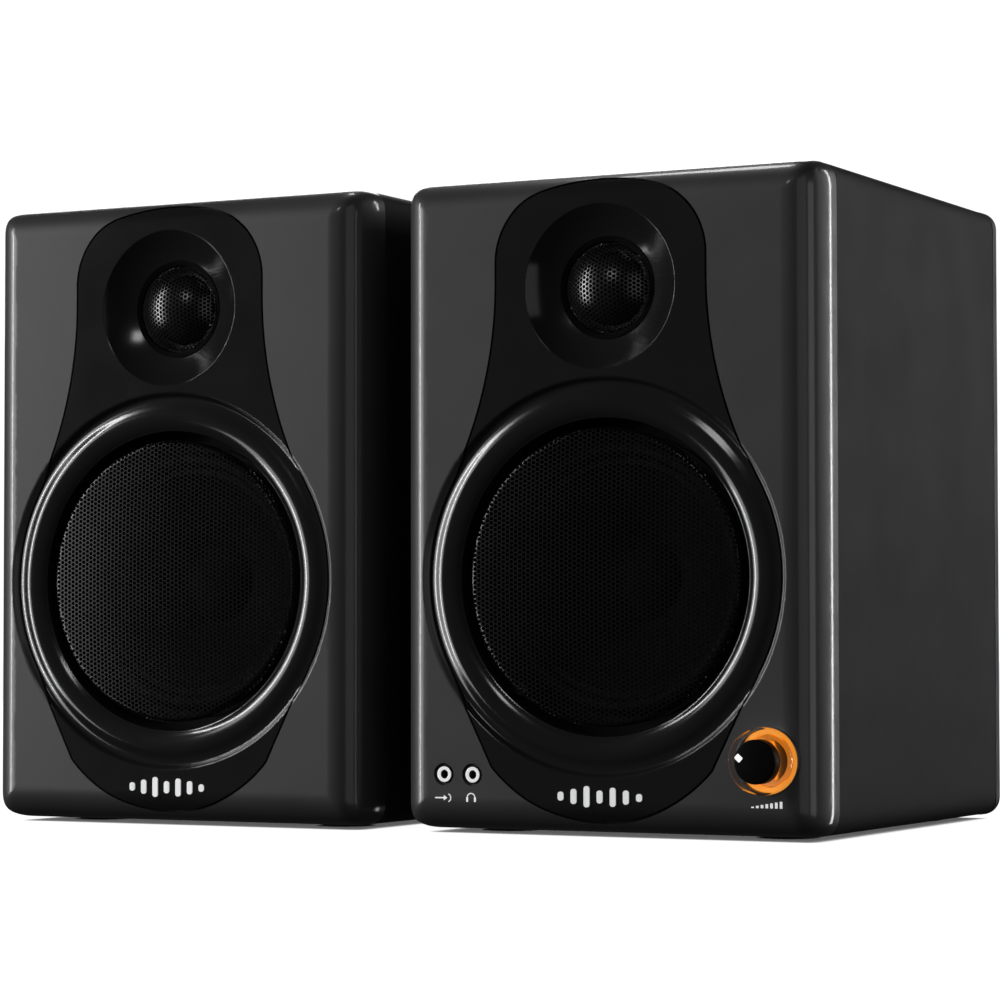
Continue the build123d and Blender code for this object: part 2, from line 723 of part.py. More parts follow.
# ------------------------------------------------------------------ amplifier, right rear
def make_amplifier_plate(speaker):
    face = CABINET_D
    past = CABINET_D + AMP_T + 1
    with BuildPart() as plate:
        slab(speaker, 0, AMP_Z, AMP_W, AMP_H, face, face + AMP_T, 4)
        disc(speaker, amp_screw_spots(), 1.5, face - 1, past, Mode.SUBTRACT)
        slab(speaker, INLET_X, INLET_Z, 28.6, 48.6, face - 1, past, 1, Mode.SUBTRACT)
        disc(speaker, [(SOCKET_X, z) for z in RCA_Z], 4.6, face - 1, past, Mode.SUBTRACT)
        slab(speaker, SOCKET_X, USB_Z, 13.2, 12.2, face - 1, past, 1, Mode.SUBTRACT)
        slab(speaker, 0, TERMINAL_Z_RIGHT, 52.6, 26.6, face - 1, past, 1, Mode.SUBTRACT)
    finish(plate, "amplifier_plate")


def make_amplifier_board(speaker):
    """Circuit board on edge behind the rear plate, with its larger components."""
    with BuildPart() as board:
        slab(speaker, 0, AMP_Z - 8, 96, 104, 160, 161.6, 1)
        disc(speaker, [(-32, 118), (-14, 118), (-32, 100)], 8, 138, 160)
        slab(speaker, 26, 112, 24, 16, 152, 160, 1)
        slab(speaker, 0, 60, 34, 14, 150, 160, 1)
        disc(speaker, [(30, 60), (38, 84)], 5, 146, 160)
        # pillars to the rear plate
        disc(speaker, [(-45, 34), (-45, 130), (45, 130), (8, 34)], 3, 161.6, CABINET_D)
    finish(board, "amplifier_board")


def make_transformer(speaker):
    floor = FOOT_H + WALL
    with BuildPart() as transformer:
        with BuildSketch(Plane(origin=(speaker.x, speaker.front, floor))):
            with Locations((0, 110)):
                RectangleRounded(78, 40, 3)
        extrude(amount=2)
        with BuildSketch(Plane(origin=(speaker.x, speaker.front, floor + 2))):
            with Locations((0, 110)):
                Rectangle(56, 24)
        extrude(amount=46)
        with BuildSketch(Plane(origin=(speaker.x, speaker.front, floor + 11))):
            with Locations((0, 110)):
                RectangleRounded(34, 46, 6)
        extrude(amount=28)
    finish(transformer, "transformer")


ROCKER_DZ = 13.5  # the switch sits this far above the module's middle
ROCKER_HALF = 8.5
ROCKER_TILT = 10
ROCKER_PIVOT_IN = 3


def make_mains_inlet(speaker):
    """Inlet and switch in one moulding. The inlet is the small two-pin kind."""
    face = CABINET_D + AMP_T
    rocker_z = INLET_Z + ROCKER_DZ
    inlet_z = INLET_Z - 11
    with BuildPart() as inlet:
        slab(speaker, INLET_X, INLET_Z, 34, 54, face, face + 2, 3)
        slab(speaker, INLET_X, INLET_Z, 28, 48, face - 18, face)
        slab(speaker, INLET_X, rocker_z, 13, 20, face - 12, face + 3, 0.0, Mode.SUBTRACT)
        with BuildSketch(facing(speaker, face + 3)):
            with Locations((INLET_X, inlet_z)):
                SlotOverall(19, 10.5)
        extrude(amount=14, mode=Mode.SUBTRACT)
        # contact pins
        disc(speaker, [(INLET_X - 4.3, inlet_z), (INLET_X + 4.3, inlet_z)], 1.2, face - 13, face - 2)
        with BuildSketch(side_on(speaker, INLET_X - 8.4)):
            with Locations((face - ROCKER_PIVOT_IN, rocker_z)):
                Circle(1.25)
        extrude(amount=16.8, mode=Mode.SUBTRACT)
    finish(inlet, "mains_inlet")


def make_power_rocker(speaker):
    """Rocker, resting in its on position, with the upper half pressed in."""
    pivot_d = CABINET_D + AMP_T - ROCKER_PIVOT_IN
    pivot_z = INLET_Z + ROCKER_DZ
    half = ROCKER_HALF
    corners = [(-1, -half), (6.2, -half), (4.6, 0), (6.2, half), (-1, half), (-5, 3), (-5, -3)]
    with BuildPart() as rocker:
        with BuildSketch(side_on(speaker, INLET_X - 6.1)):
            with Locations(Location((pivot_d, pivot_z, 0), (0, 0, ROCKER_TILT))):
                Polygon(*corners, align=None)
        extrude(amount=12.2)
        with BuildSketch(side_on(speaker, INLET_X - 7.9)):
            with Locations((pivot_d, pivot_z)):
                Circle(1.2)
        extrude(amount=15.8)
    finish(rocker, "power_rocker")


def make_usb_socket(speaker):
    face = CABINET_D + AMP_T
    with BuildPart() as usb:
        slab(speaker, SOCKET_X, USB_Z, 12.8, 11.8, face - 16, face + 0.6, 0.6)
        slab(speaker, SOCKET_X, USB_Z, 8.6, 7.8, face - 9, face + 1, 0.6, Mode.SUBTRACT)
        slab(speaker, SOCKET_X, USB_Z, 5.6, 3.2, face - 9.5, face - 1)
    finish(usb, "usb_socket")


def make_rca_sockets(speaker):
    inside = CABINET_D
    tip = CABINET_D + AMP_T + RCA_OUT
    spots = [(SOCKET_X, z) for z in RCA_Z]
    middle = sum(RCA_Z) / 2
    with BuildPart() as rca:
        slab(speaker, SOCKET_X, middle, 13, 32, inside - 12, inside - 0.1, 1)
        disc(speaker, spots, 4.15, inside - 0.1, tip)
        disc(speaker, spots, 1.7, inside - 6, tip + 1, Mode.SUBTRACT)
    finish(rca, "rca_sockets")


# ------------------------------------------------------------------ the pair
for each in (RIGHT, LEFT):
    make_cabinet(each)
    make_front_baffle(each)
    make_driver_plate(each)
    make_badge(each)
    make_woofer_grille(each)
    make_woofer_basket(each)
    make_woofer_surround(each)
    make_woofer_cone(each)
    make_voice_coil(each)
    make_spider(each)
    make_woofer_magnet(each)
    make_woofer_yoke(each)
    make_tweeter_grille(each)
    make_tweeter_body(each)
    make_tweeter_dome(each)
    make_rear_panel(each)
    make_port_tube(each)
    make_feet(each)
    make_screws(each)
    make_terminal_block(each)
    make_clip(each, -LEVER_DX, f"{each.name}_red_clip")
    make_clip(each, LEVER_DX, f"{each.name}_black_clip")

make_volume_knob(RIGHT)
make_knob_collar(RIGHT)
make_knob_pointer(RIGHT)
make_light_ring(RIGHT)
make_volume_shaft(RIGHT)
make_volume_pot(RIGHT)
make_jack(RIGHT, JACK_X[0], "aux_jack")
make_jack(RIGHT, JACK_X[1], "headphone_jack")
make_control_board(RIGHT)
make_amplifier_plate(RIGHT)
make_amplifier_board(RIGHT)
make_transformer(RIGHT)
make_mains_inlet(RIGHT)
make_power_rocker(RIGHT)
make_usb_socket(RIGHT)
make_rca_sockets(RIGHT)
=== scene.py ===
import json
import math

import bpy
import numpy as np
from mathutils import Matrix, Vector
from mathutils.geometry import delaunay_2d_cdt


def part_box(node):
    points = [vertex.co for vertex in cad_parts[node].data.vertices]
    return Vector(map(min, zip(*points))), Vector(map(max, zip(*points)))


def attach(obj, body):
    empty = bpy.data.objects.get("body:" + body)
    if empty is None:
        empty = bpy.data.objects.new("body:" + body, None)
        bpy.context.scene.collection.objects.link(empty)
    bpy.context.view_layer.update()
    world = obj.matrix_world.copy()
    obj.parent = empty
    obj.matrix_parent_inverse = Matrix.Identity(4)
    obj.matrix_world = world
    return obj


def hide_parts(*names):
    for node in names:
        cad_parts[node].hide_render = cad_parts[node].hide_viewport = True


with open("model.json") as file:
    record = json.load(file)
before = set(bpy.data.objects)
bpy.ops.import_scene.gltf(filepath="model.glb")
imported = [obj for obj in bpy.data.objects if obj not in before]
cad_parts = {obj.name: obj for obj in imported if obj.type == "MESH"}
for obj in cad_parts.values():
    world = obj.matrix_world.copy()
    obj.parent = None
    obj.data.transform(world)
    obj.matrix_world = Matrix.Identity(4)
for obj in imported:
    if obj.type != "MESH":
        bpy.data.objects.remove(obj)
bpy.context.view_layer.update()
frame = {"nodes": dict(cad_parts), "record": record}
NODES = frame["nodes"]

# ---------------------------------------------------------------- places and sizes
# Lengths are in millimetres in a speaker's own frame: x from its middle, depth back from its
# front, z up from the cabinet's underside. site() turns them into the frame's metres. Only the
# speakers' own places are read from the frame. The seam and the moat are made for the look, and
# differ a little from the CAD's.
FRONT_D = 22.5  # depth of the moulded front
HALF_W, HALF_H = 83.0, 120.0
MID_Z = HALF_H
EDGE_R = 12.5  # how far the front's rounded edges reach in
SIDES = {}
for side_name in ("right", "left"):
    low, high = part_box(f"{side_name}_cabinet")
    SIDES[side_name] = (
        (low.x + high.x) / 2 * 1000, low.y * 1000 - FRONT_D, low.z * 1000, f"{side_name}_speaker",
    )

# the woofer's ring, from the outside in: moat, valley, crest, opening
WOOFER_Z = 92.4
MOAT_R = 72.6
RING_R, VALLEY_D = 70.0, 2.0
CREST_R, CREST_D = 63.5, 0.7
OPENING_R, LIP_D = 57.5, 2.7
OPENING_BACK = 16.5
LINING_T = 2.0
# the tweeter's dish
TWEETER_Z = 197.2
DISH_R, THROAT_R, THROAT_D = 30.0, 17.0, 7.7
THROAT_BACK = 11.6
BOWL_R = 46.0
# the inset plate and its seam
SEAM = 0.4  # half of the gap between the plate and the baffle
SEAM_CLEAR = 1.25  # this close to the seam's edge there are only the seam's own rows of points
SOFT_EDGE, SOFT_DROP = 0.22, 0.10  # rounding of an edge at the seam
PLATE_T = 4.0
SHELF_D = 6.0
# controls on the right front
KNOB = (65.0, 27.5)
KNOB_R, KNOB_BASE, KNOB_OUT, KNOB_BEVEL = 7.8, 0.3, 12.0, 1.0
COLLAR_R, COLLAR_BASE, COLLAR_OUT = 11.9, 1.0, 7.4
LIGHT_R = 11.2
BEZEL_R, BEZEL_OUT = LIGHT_R + 0.8, 0.4
JACK_SEAT_R, JACK_SEAT_D, JACK_HOLE_R = 4.1, 1.2, 3.3
JACKS = {"aux_jack": (-63.5, 20.6), "headphone_jack": (-51.8, 20.6)}


def site(side, x, depth, z):
    cx, front, foot, _ = SIDES[side]
    return np.stack(np.broadcast_arrays((cx + x) / 1000, (front + depth) / 1000, (foot + z) / 1000), axis=-1)


# ---------------------------------------------------------------- mesh helpers
def make_object(name, verts, faces, material, body, normals=None, smooth_angle=None):
    """A smooth-shaded object that rides on a body, with given normals or sharp past an angle."""
    mesh = bpy.data.meshes.new(name)
    mesh.from_pydata(np.asarray(verts).tolist(), [], [list(map(int, f)) for f in faces])
    mesh.update()
    mesh.materials.append(material)
    mesh.shade_smooth()
    if normals is not None:
        mesh.normals_split_custom_set_from_vertices(np.asarray(normals).tolist())
    elif smooth_angle is not None:
        mesh.set_sharp_from_angle(angle=math.radians(smooth_angle))
    obj = bpy.data.objects.new(name, mesh)
    bpy.context.scene.collection.objects.link(obj)
    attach(obj, body)
    return obj


class Parts:
    """Several patches of vertices, faces and normals, gathered into one mesh."""

    def __init__(self):
        self.verts, self.faces, self.normals, self.count = [], [], [], 0

    def add(self, verts, faces, normals):
        self.verts.append(np.asarray(verts, float))
        self.normals.append(np.asarray(normals, float))
        self.faces += [tuple(i + self.count for i in f) for f in faces]
        self.count += len(verts)

    def object(self, name, material, body):
        return make_object(
            name, np.concatenate(self.verts), self.faces, material, body, np.concatenate(self.normals)
        )


def loop_faces(rows, n, closed=True):
    """Quads between rows of n points each, in order."""
    last = n if closed else n - 1
    return [
        (r * n + i, r * n + (i + 1) % n, (r + 1) * n + (i + 1) % n, (r + 1) * n + i)
        for r in range(rows - 1)
        for i in range(last)
    ]


def circle(radius, n, x=0.0, z=0.0):
    a = np.arange(n) * 2 * math.pi / n
    return np.stack([x + radius * np.cos(a), z + radius * np.sin(a)], axis=1)


def lathe(name, side, x, z, profile, material, body, segments=96, smooth_angle=30):
    """A closed profile of (radius, depth) points turned about a front-to-back axis."""
    a = np.arange(segments) * 2 * math.pi / segments
    verts = np.concatenate(
        [site(side, x + radius * np.cos(a), depth, z + radius * np.sin(a)) for radius, depth in profile]
    )
    faces = [tuple(i % len(verts) for i in f) for f in loop_faces(len(profile) + 1, segments)]
    return make_object(name, verts, faces, material, body, smooth_angle=smooth_angle)


def rounded(points, radius, steps=5):
    """The same closed profile with its corners rounded."""
    out = []
    n = len(points)
    for i, p in enumerate(points):
        p = np.array(p, float)
        before = np.array(points[i - 1], float) - p
        after = np.array(points[(i + 1) % n], float) - p
        lb, la = np.linalg.norm(before), np.linalg.norm(after)
        r = min(radius, 0.45 * lb, 0.45 * la)
        a, b = p + before / lb * r, p + after / la * r
        for t in np.linspace(0, 1, steps):
            out.append(tuple((1 - t) ** 2 * a + 2 * t * (1 - t) * p + t * t * b))
    return out


# ---------------------------------------------------------------- the front's shape
EDGE_R1, EDGE_TURN, EDGE_R2 = 11.5, math.radians(75), 40.8  # tight, then easing into the side
FLAT_X, FLAT_Z = HALF_W - EDGE_R, HALF_H - EDGE_R
CORNER_POWER = 3.75  # superellipse that the corners follow
ARC1 = EDGE_R1 * EDGE_TURN
ARC2 = ARC1 + EDGE_R2 * (math.pi / 2 - EDGE_TURN)
EDGE_IN = EDGE_R1 * math.sin(EDGE_TURN) + EDGE_R2 * (1 - math.sin(EDGE_TURN))
EDGE_BACK = EDGE_R1 * (1 - math.cos(EDGE_TURN)) + EDGE_R2 * math.cos(EDGE_TURN)
REACH = ARC2 + FRONT_D - EDGE_BACK


def edge_curve(m):
    """How far in and how far back the edge is after a length m along its curve."""
    m = np.asarray(m, float)
    p1 = np.minimum(m, ARC1) / EDGE_R1
    p2 = np.clip(m - ARC1, 0, ARC2 - ARC1) / EDGE_R2 + EDGE_TURN
    inward = EDGE_R1 * np.sin(p1) + EDGE_R2 * (np.sin(p2) - math.sin(EDGE_TURN))
    back = EDGE_R1 * (1 - np.cos(p1)) + EDGE_R2 * (math.cos(EDGE_TURN) - np.cos(p2))
    return inward, back + np.maximum(m - ARC2, 0)


TABLE_M = np.linspace(0, ARC2, 4000)
TABLE_IN = edge_curve(TABLE_M)[0] * (EDGE_R / EDGE_IN)


def unroll(v, flat):
    """The flat coordinate of a point at x or z on the front."""
    over = np.maximum(np.abs(v) - flat, 0)
    return np.sign(v) * (np.minimum(np.abs(v), flat) + np.interp(over, TABLE_IN, TABLE_M))


def front_surface(a, b, features=True):
    """Flat coordinates (a, b) to (x, depth, z) on the front."""
    ea = np.maximum(np.abs(a) - FLAT_X, 0)
    eb = np.maximum(np.abs(b) - FLAT_Z, 0)
    m = (ea**CORNER_POWER + eb**CORNER_POWER) ** (1 / CORNER_POWER)
    inward, back = edge_curve(m)
    scale = np.where(m > 1e-9, inward * (EDGE_R / EDGE_IN) / np.maximum(m, 1e-9), 1.0)
    x = np.sign(a) * (np.minimum(np.abs(a), FLAT_X) + ea * scale)
    z = np.sign(b) * (np.minimum(np.abs(b), FLAT_Z) + eb * scale) + MID_Z
    if features:
        back = back + feature_depth(x, z)
    return x, back, z


def smooth(t):
    """0 to 1 with no kink in slope or curvature at either end."""
    t = np.clip(t, 0, 1)
    return t * t * t * (t * (6 * t - 15) + 10)


def feature_depth(x, z):
    """Ring round the woofer, and the tweeter's dish."""
    r = np.hypot(x, z - WOOFER_Z)
    ring = VALLEY_D * smooth((MOAT_R - r) / (MOAT_R - RING_R))
    rise = VALLEY_D + (CREST_D - VALLEY_D) * smooth((RING_R - r) / (RING_R - CREST_R))
    ring = np.where(r < RING_R, rise, ring)
    run = CREST_R - OPENING_R
    drop = LIP_D - CREST_D
    lip_r = (run * run + drop * drop) / (2 * drop)
    inner = np.clip(CREST_R - r, 0, run)
    ring = np.where(r < CREST_R, CREST_D + lip_r - np.sqrt(lip_r**2 - inner**2), ring)
    q = np.hypot(x, z - TWEETER_Z)
    chord = math.hypot(DISH_R - THROAT_R, THROAT_D)
    mid = np.array([(DISH_R + THROAT_R) / 2, THROAT_D / 2])
    along = np.array([THROAT_R - DISH_R, THROAT_D]) / chord
    away = np.array([-along[1], along[0]])
    centre = mid + away * math.sqrt(BOWL_R**2 - chord**2 / 4)
    qq = np.clip(q, THROAT_R, DISH_R)
    dish = centre[1] + np.sqrt(BOWL_R**2 - (qq - centre[0]) ** 2)
    return ring + np.where(q < DISH_R, dish, 0.0)


def surface_normals(a, b):
    """Normals of the front at flat coordinates, from small steps along it."""
    h = 0.02
    hi = np.stack(front_surface(a + h, b), axis=-1)
    lo = np.stack(front_surface(a - h, b), axis=-1)
    up = np.stack(front_surface(a, b + h), axis=-1)
    down = np.stack(front_surface(a, b - h), axis=-1)
    n = np.cross(hi - lo, up - down)
    return n / np.linalg.norm(n, axis=-1, keepdims=True)


# the inset plate's outline
NECK_X, FLARE_Z, SHOULDER_Z, SHOULDER_R = 42.0, 200.0, 207.3, 27.0
CROWN_Z, FOOT_R, FOOT_Z, FLANK = 236.4, 59.0, 4.1, math.radians(26.6)


def arc(cx, cz, radius, start, end, step=1.0):
    n = max(2, int(abs(end - start) * radius / step) + 1)
    t = np.linspace(start, end, n)
    return np.stack([cx + radius * np.cos(t), cz + radius * np.sin(t)], axis=1)


def outline(grow):
    """Closed outline, clockwise from the crown, as (x, z) points and outward directions."""
    flare_r = (NECK_X**2 + (FLARE_Z - WOOFER_Z) ** 2 - RING_R**2) / (2 * (RING_R - NECK_X))
    flare_x = NECK_X + flare_r
    sx = NECK_X - SHOULDER_R
    rise = CROWN_Z - SHOULDER_Z
    crown_r = (sx**2 + rise**2 - SHOULDER_R**2) / (2 * (rise - SHOULDER_R))
    crown_z = CROWN_Z - crown_r
    t1 = math.atan2(SHOULDER_Z - crown_z, sx)
    t2 = math.atan2(WOOFER_Z - FLARE_Z, -flare_x)
    foot_z = FOOT_Z + FOOT_R
    low = np.array([(RING_R + grow) * math.cos(FLANK), WOOFER_Z - (RING_R + grow) * math.sin(FLANK)])
    down = np.array([-math.sin(FLANK), -math.cos(FLANK)])
    to_foot = np.array([0, foot_z]) - low
    reach = to_foot @ down
    off = abs(to_foot[0] * down[1] - to_foot[1] * down[0])
    end = low + down * (reach + math.sqrt((FOOT_R + grow) ** 2 - off**2))
    t3 = math.atan2(end[1] - foot_z, end[0])
    straight = np.linspace(0, 1, 8)[:, None]
    flank = np.linspace(0, 1, 40)[:, None]
    parts = [
        arc(0, crown_z, crown_r + grow, math.pi / 2, t1),
        arc(sx, SHOULDER_Z, SHOULDER_R + grow, t1, 0),
        np.array([NECK_X + grow, SHOULDER_Z]) + straight * np.array([0, FLARE_Z - SHOULDER_Z]),
        arc(flare_x, FLARE_Z, flare_r - grow, math.pi, 2 * math.pi + t2),
        arc(0, WOOFER_Z, RING_R + grow, t2 + math.pi, -FLANK),
        low + flank * (end - low),
        arc(0, foot_z, FOOT_R + grow, t3, -math.pi / 2),
    ]
    half = [parts[0][0]]
    for part in parts:
        for p in part:
            if np.hypot(*(p - half[-1])) > 0.2:
                half.append(p)
    half = np.array(half)
    half[-1] = (0, FOOT_Z - grow)
    half[0] = (0, CROWN_Z + grow)
    mirrored = half[1:-1][::-1] * [-1, 1]
    ring = np.concatenate([half, mirrored])
    tangent = np.roll(ring, -1, axis=0) - np.roll(ring, 1, axis=0)
    tangent /= np.linalg.norm(tangent, axis=1, keepdims=True)
    outward = np.stack([-tangent[:, 1], tangent[:, 0]], axis=1)
    return ring, outward


def half_width(grow):
    """The outline's half width as a function of height."""
    ring, _ = outline(grow)
    right = ring[ring[:, 0] >= -1e-9]
    order = np.argsort(right[:, 1])
    zs, xs = right[order, 1], right[order, 0]
    return lambda z: np.where((z < zs[0]) | (z > zs[-1]), -1.0, np.interp(z, zs, xs))


def triangulate(points, loops, keep):
    """Delaunay triangles over the points with these closed loops kept, where keep() says so."""
    edges = []
    for start, n in loops:
        edges += [(start + i, start + (i + 1) % n) for i in range(n)]
    verts, _, faces, _, _, _ = delaunay_2d_cdt([tuple(p) for p in points], edges, [], 0, 1e-5)
    verts = np.array([tuple(v) for v in verts])
    faces = np.array([f for f in faces if len(f) == 3])
    faces = faces[keep(verts[faces].mean(axis=1))]
    used, index = np.unique(faces, return_inverse=True)
    return verts[used], index.reshape(faces.shape)


def wall(side, ring, inside, top, bottom, parts, rows=3):
    """A wall going back from a closed loop. inside says that it faces the loop's middle."""
    n = len(ring)
    tangent = np.roll(ring, -1, axis=0) - np.roll(ring, 1, axis=0)
    area = np.sum(ring[:, 0] * np.roll(ring[:, 1], -1) - np.roll(ring[:, 0], -1) * ring[:, 1])
    out = np.stack([tangent[:, 1], -tangent[:, 0]], axis=1) * (1 if area > 0 else -1)
    out /= np.linalg.norm(out, axis=1, keepdims=True)
    if inside:
        out = -out
    verts, normals = [], []
    for t in np.linspace(0, 1, rows):
        verts.append(site(side, ring[:, 0], top + (bottom - top) * t, ring[:, 1]))
        normals.append(np.stack([out[:, 0], np.zeros(n), out[:, 1]], axis=1))
    faces = loop_faces(rows, n)
    if (area > 0) == inside:
        faces = [f[::-1] for f in faces]
    parts.add(np.concatenate(verts), [f[::-1] for f in faces], np.concatenate(normals))


def annulus(side, x, z, r1, r2, d1, d2, parts, n=96):
    """A flat or conical ring facing forward."""
    a, b = circle(r1, n, x, z), circle(r2, n, x, z)
    verts = np.concatenate([site(side, a[:, 0], d1, a[:, 1]), site(side, b[:, 0], d2, b[:, 1])])
    slope = np.array([r2 - r1, d2 - d1])
    slope = slope / np.linalg.norm(slope)
    radial = circle(1.0, n)
    normal = np.stack([-radial[:, 0] * slope[1], np.full(n, slope[0]), -radial[:, 1] * slope[1]], axis=1)
    parts.add(verts, loop_faces(2, n), np.concatenate([normal, normal]))


def ring_points(radius, step, x, z):
    return circle(radius, max(24, int(2 * math.pi * radius / step)), x, z)


def to_flat(xz):
    return np.stack([unroll(xz[:, 0], FLAT_X), unroll(xz[:, 1] - MID_Z, FLAT_Z)], axis=1)


def front_patch(side, groups, keep_flat, parts, loops):
    """Meshes the front where keep_flat says so. groups are (flat points, extra depth), and loops
    are (first point, count) of the closed loops that the triangles must follow."""
    points = np.concatenate([flat for flat, _ in groups])
    extra = np.concatenate([np.full(len(flat), more) for flat, more in groups])
    lookup = {(round(p[0], 4), round(p[1], 4)): i for i, p in enumerate(points)}
    verts, faces = triangulate(points, loops, keep_flat)
    a, b = verts[:, 0], verts[:, 1]
    x, depth, z = front_surface(a, b)
    at = np.array([lookup.get((round(p[0], 4), round(p[1], 4)), -1) for p in verts])
    depth = depth + np.where(at >= 0, extra[at], 0)
    parts.add(site(side, x, depth, z), faces.tolist(), surface_normals(a, b))


def add_loops(groups, loops, rings):
    """Adds closed rings of (x, z) points to the groups, and notes them as loops to follow."""
    start = sum(len(flat) for flat, _ in groups)
    for ring in rings:
        groups.append((to_flat(ring), 0.0))
        loops.append((start, len(ring)))
        start += len(ring)


def grid(x0, x1, z0, z1, step):
    """Points on a square grid, nudged off the symmetry lines."""
    xs = np.arange(x0, x1 + 1e-6, step)
    zs = np.arange(z0, z1 + 1e-6, step)
    gx, gz = np.meshgrid(xs, zs)
    return np.stack([gx.ravel() + 0.013, gz.ravel() + 0.017], axis=1)


def seam_groups(sign):
    """Loops beside the seam, on the plate's side (-1) or the baffle's (+1), with a soft edge."""
    groups = []
    for t in (0.0, 0.08, 0.15, SOFT_EDGE, 1.0):
        ring, _ = outline(sign * (SEAM + t))
        k = max(0.0, 1 - t / SOFT_EDGE)
        groups.append((to_flat(ring), SOFT_DROP * k * k))
    return groups


def build_plate(side, material):
    """The inset plate, with the woofer's ring and opening and the tweeter's dish and throat."""
    parts = Parts()
    groups = seam_groups(-1)
    ring, _ = outline(-SEAM)
    loops = [(0, len(ring))]
    inside = half_width(-SEAM)
    deep = half_width(-SEAM - SEAM_CLEAR)
    opening = ring_points(OPENING_R, 1.2, 0, WOOFER_Z)
    throat = ring_points(THROAT_R, 0.8, 0, TWEETER_Z)
    brim_n, brim_gap = 240, 0.12
    add_loops(groups, loops, (opening, throat, circle(DISH_R, brim_n, 0, TWEETER_Z)))
    fill = [ring_points(r, 1.4, 0, WOOFER_Z) for r in np.arange(OPENING_R + 0.5, MOAT_R + 1, 0.5)]
    fill += [ring_points(r, 1.2, 0, TWEETER_Z) for r in np.arange(THROAT_R + 0.5, DISH_R - 0.2, 0.45)]
    fill += [circle(r, brim_n, 0, TWEETER_Z) for r in (DISH_R - brim_gap, DISH_R + brim_gap)]
    fill += [ring_points(r, 1.6, 0, TWEETER_Z) for r in (DISH_R + 0.7, DISH_R + 1.6)]
    fill.append(grid(-72, 72, 4, 237, 2.0))
    fill.append(grid(-60, 60, 226, 237, 1.0) + [0.3, 0.35])
    fill.append(grid(-45, 45, 3, 14, 1.0) + [0.3, 0.35])
    fill = np.concatenate(fill)
    r = np.hypot(fill[:, 0], fill[:, 1] - WOOFER_Z)
    q = np.hypot(fill[:, 0], fill[:, 1] - TWEETER_Z)
    good = (np.abs(fill[:, 0]) < deep(fill[:, 1])) & (r > OPENING_R + 0.3) & (q > THROAT_R + 0.3)
    groups.append((to_flat(fill[good]), 0.0))

    def keep(flat):
        x, _, z = front_surface(flat[:, 0], flat[:, 1], False)
        return (
            (np.abs(x) < inside(z))
            & (np.hypot(x, z - WOOFER_Z) > OPENING_R)
            & (np.hypot(x, z - TWEETER_Z) > THROAT_R)
        )

    front_patch(side, groups, keep, parts, loops)
    _, depth, _ = front_surface(*to_flat(ring).T)
    wall(side, ring, False, depth + SOFT_DROP, depth + PLATE_T, parts)
    wall(side, opening, True, LIP_D, OPENING_BACK, parts, 4)
    wall(side, throat, True, THROAT_D, THROAT_BACK, parts)
    lining_r = OPENING_R + LINING_T
    wall(side, ring_points(lining_r, 1.2, 0, WOOFER_Z), False, SHELF_D, OPENING_BACK, parts)
    annulus(side, 0, WOOFER_Z, lining_r, OPENING_R, OPENING_BACK, OPENING_BACK, parts)
    obj = parts.object(f"{side}_plate", material, SIDES[side][3])
    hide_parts(f"{side}_driver_plate")
    return obj


def edge_loop(m, step=3.5):
    """Closed loop in flat coordinates at a distance m past the flat zone."""
    corner_steps = 14
    t = np.linspace(0, math.pi / 2, corner_steps)
    c, s = np.cos(t), np.sin(t)
    k = (c**CORNER_POWER + s**CORNER_POWER) ** (-1 / CORNER_POWER) * m
    corner = np.stack([FLAT_X + c * k, FLAT_Z + s * k], axis=1)
    nx, nz = int(2 * FLAT_X / step), int(2 * FLAT_Z / step)
    top = np.stack([np.linspace(FLAT_X, -FLAT_X, nx)[1:-1], np.full(nx - 2, FLAT_Z + m)], axis=1)
    left = np.stack([np.full(nz - 2, -FLAT_X - m), np.linspace(FLAT_Z, -FLAT_Z, nz)[1:-1]], axis=1)
    half = np.concatenate([corner, top, corner[::-1] * [-1, 1], left])
    bottom = -np.concatenate([corner, top])
    right = np.stack([np.full(nz - 2, FLAT_X + m), np.linspace(-FLAT_Z, FLAT_Z, nz)[1:-1]], axis=1)
    loop = np.concatenate([half, bottom, corner[::-1] * [1, -1], right])
    keep = [0]
    for i in range(1, len(loop)):
        if np.hypot(*(loop[i] - loop[keep[-1]])) > 0.05:
            keep.append(i)
    return loop[keep]


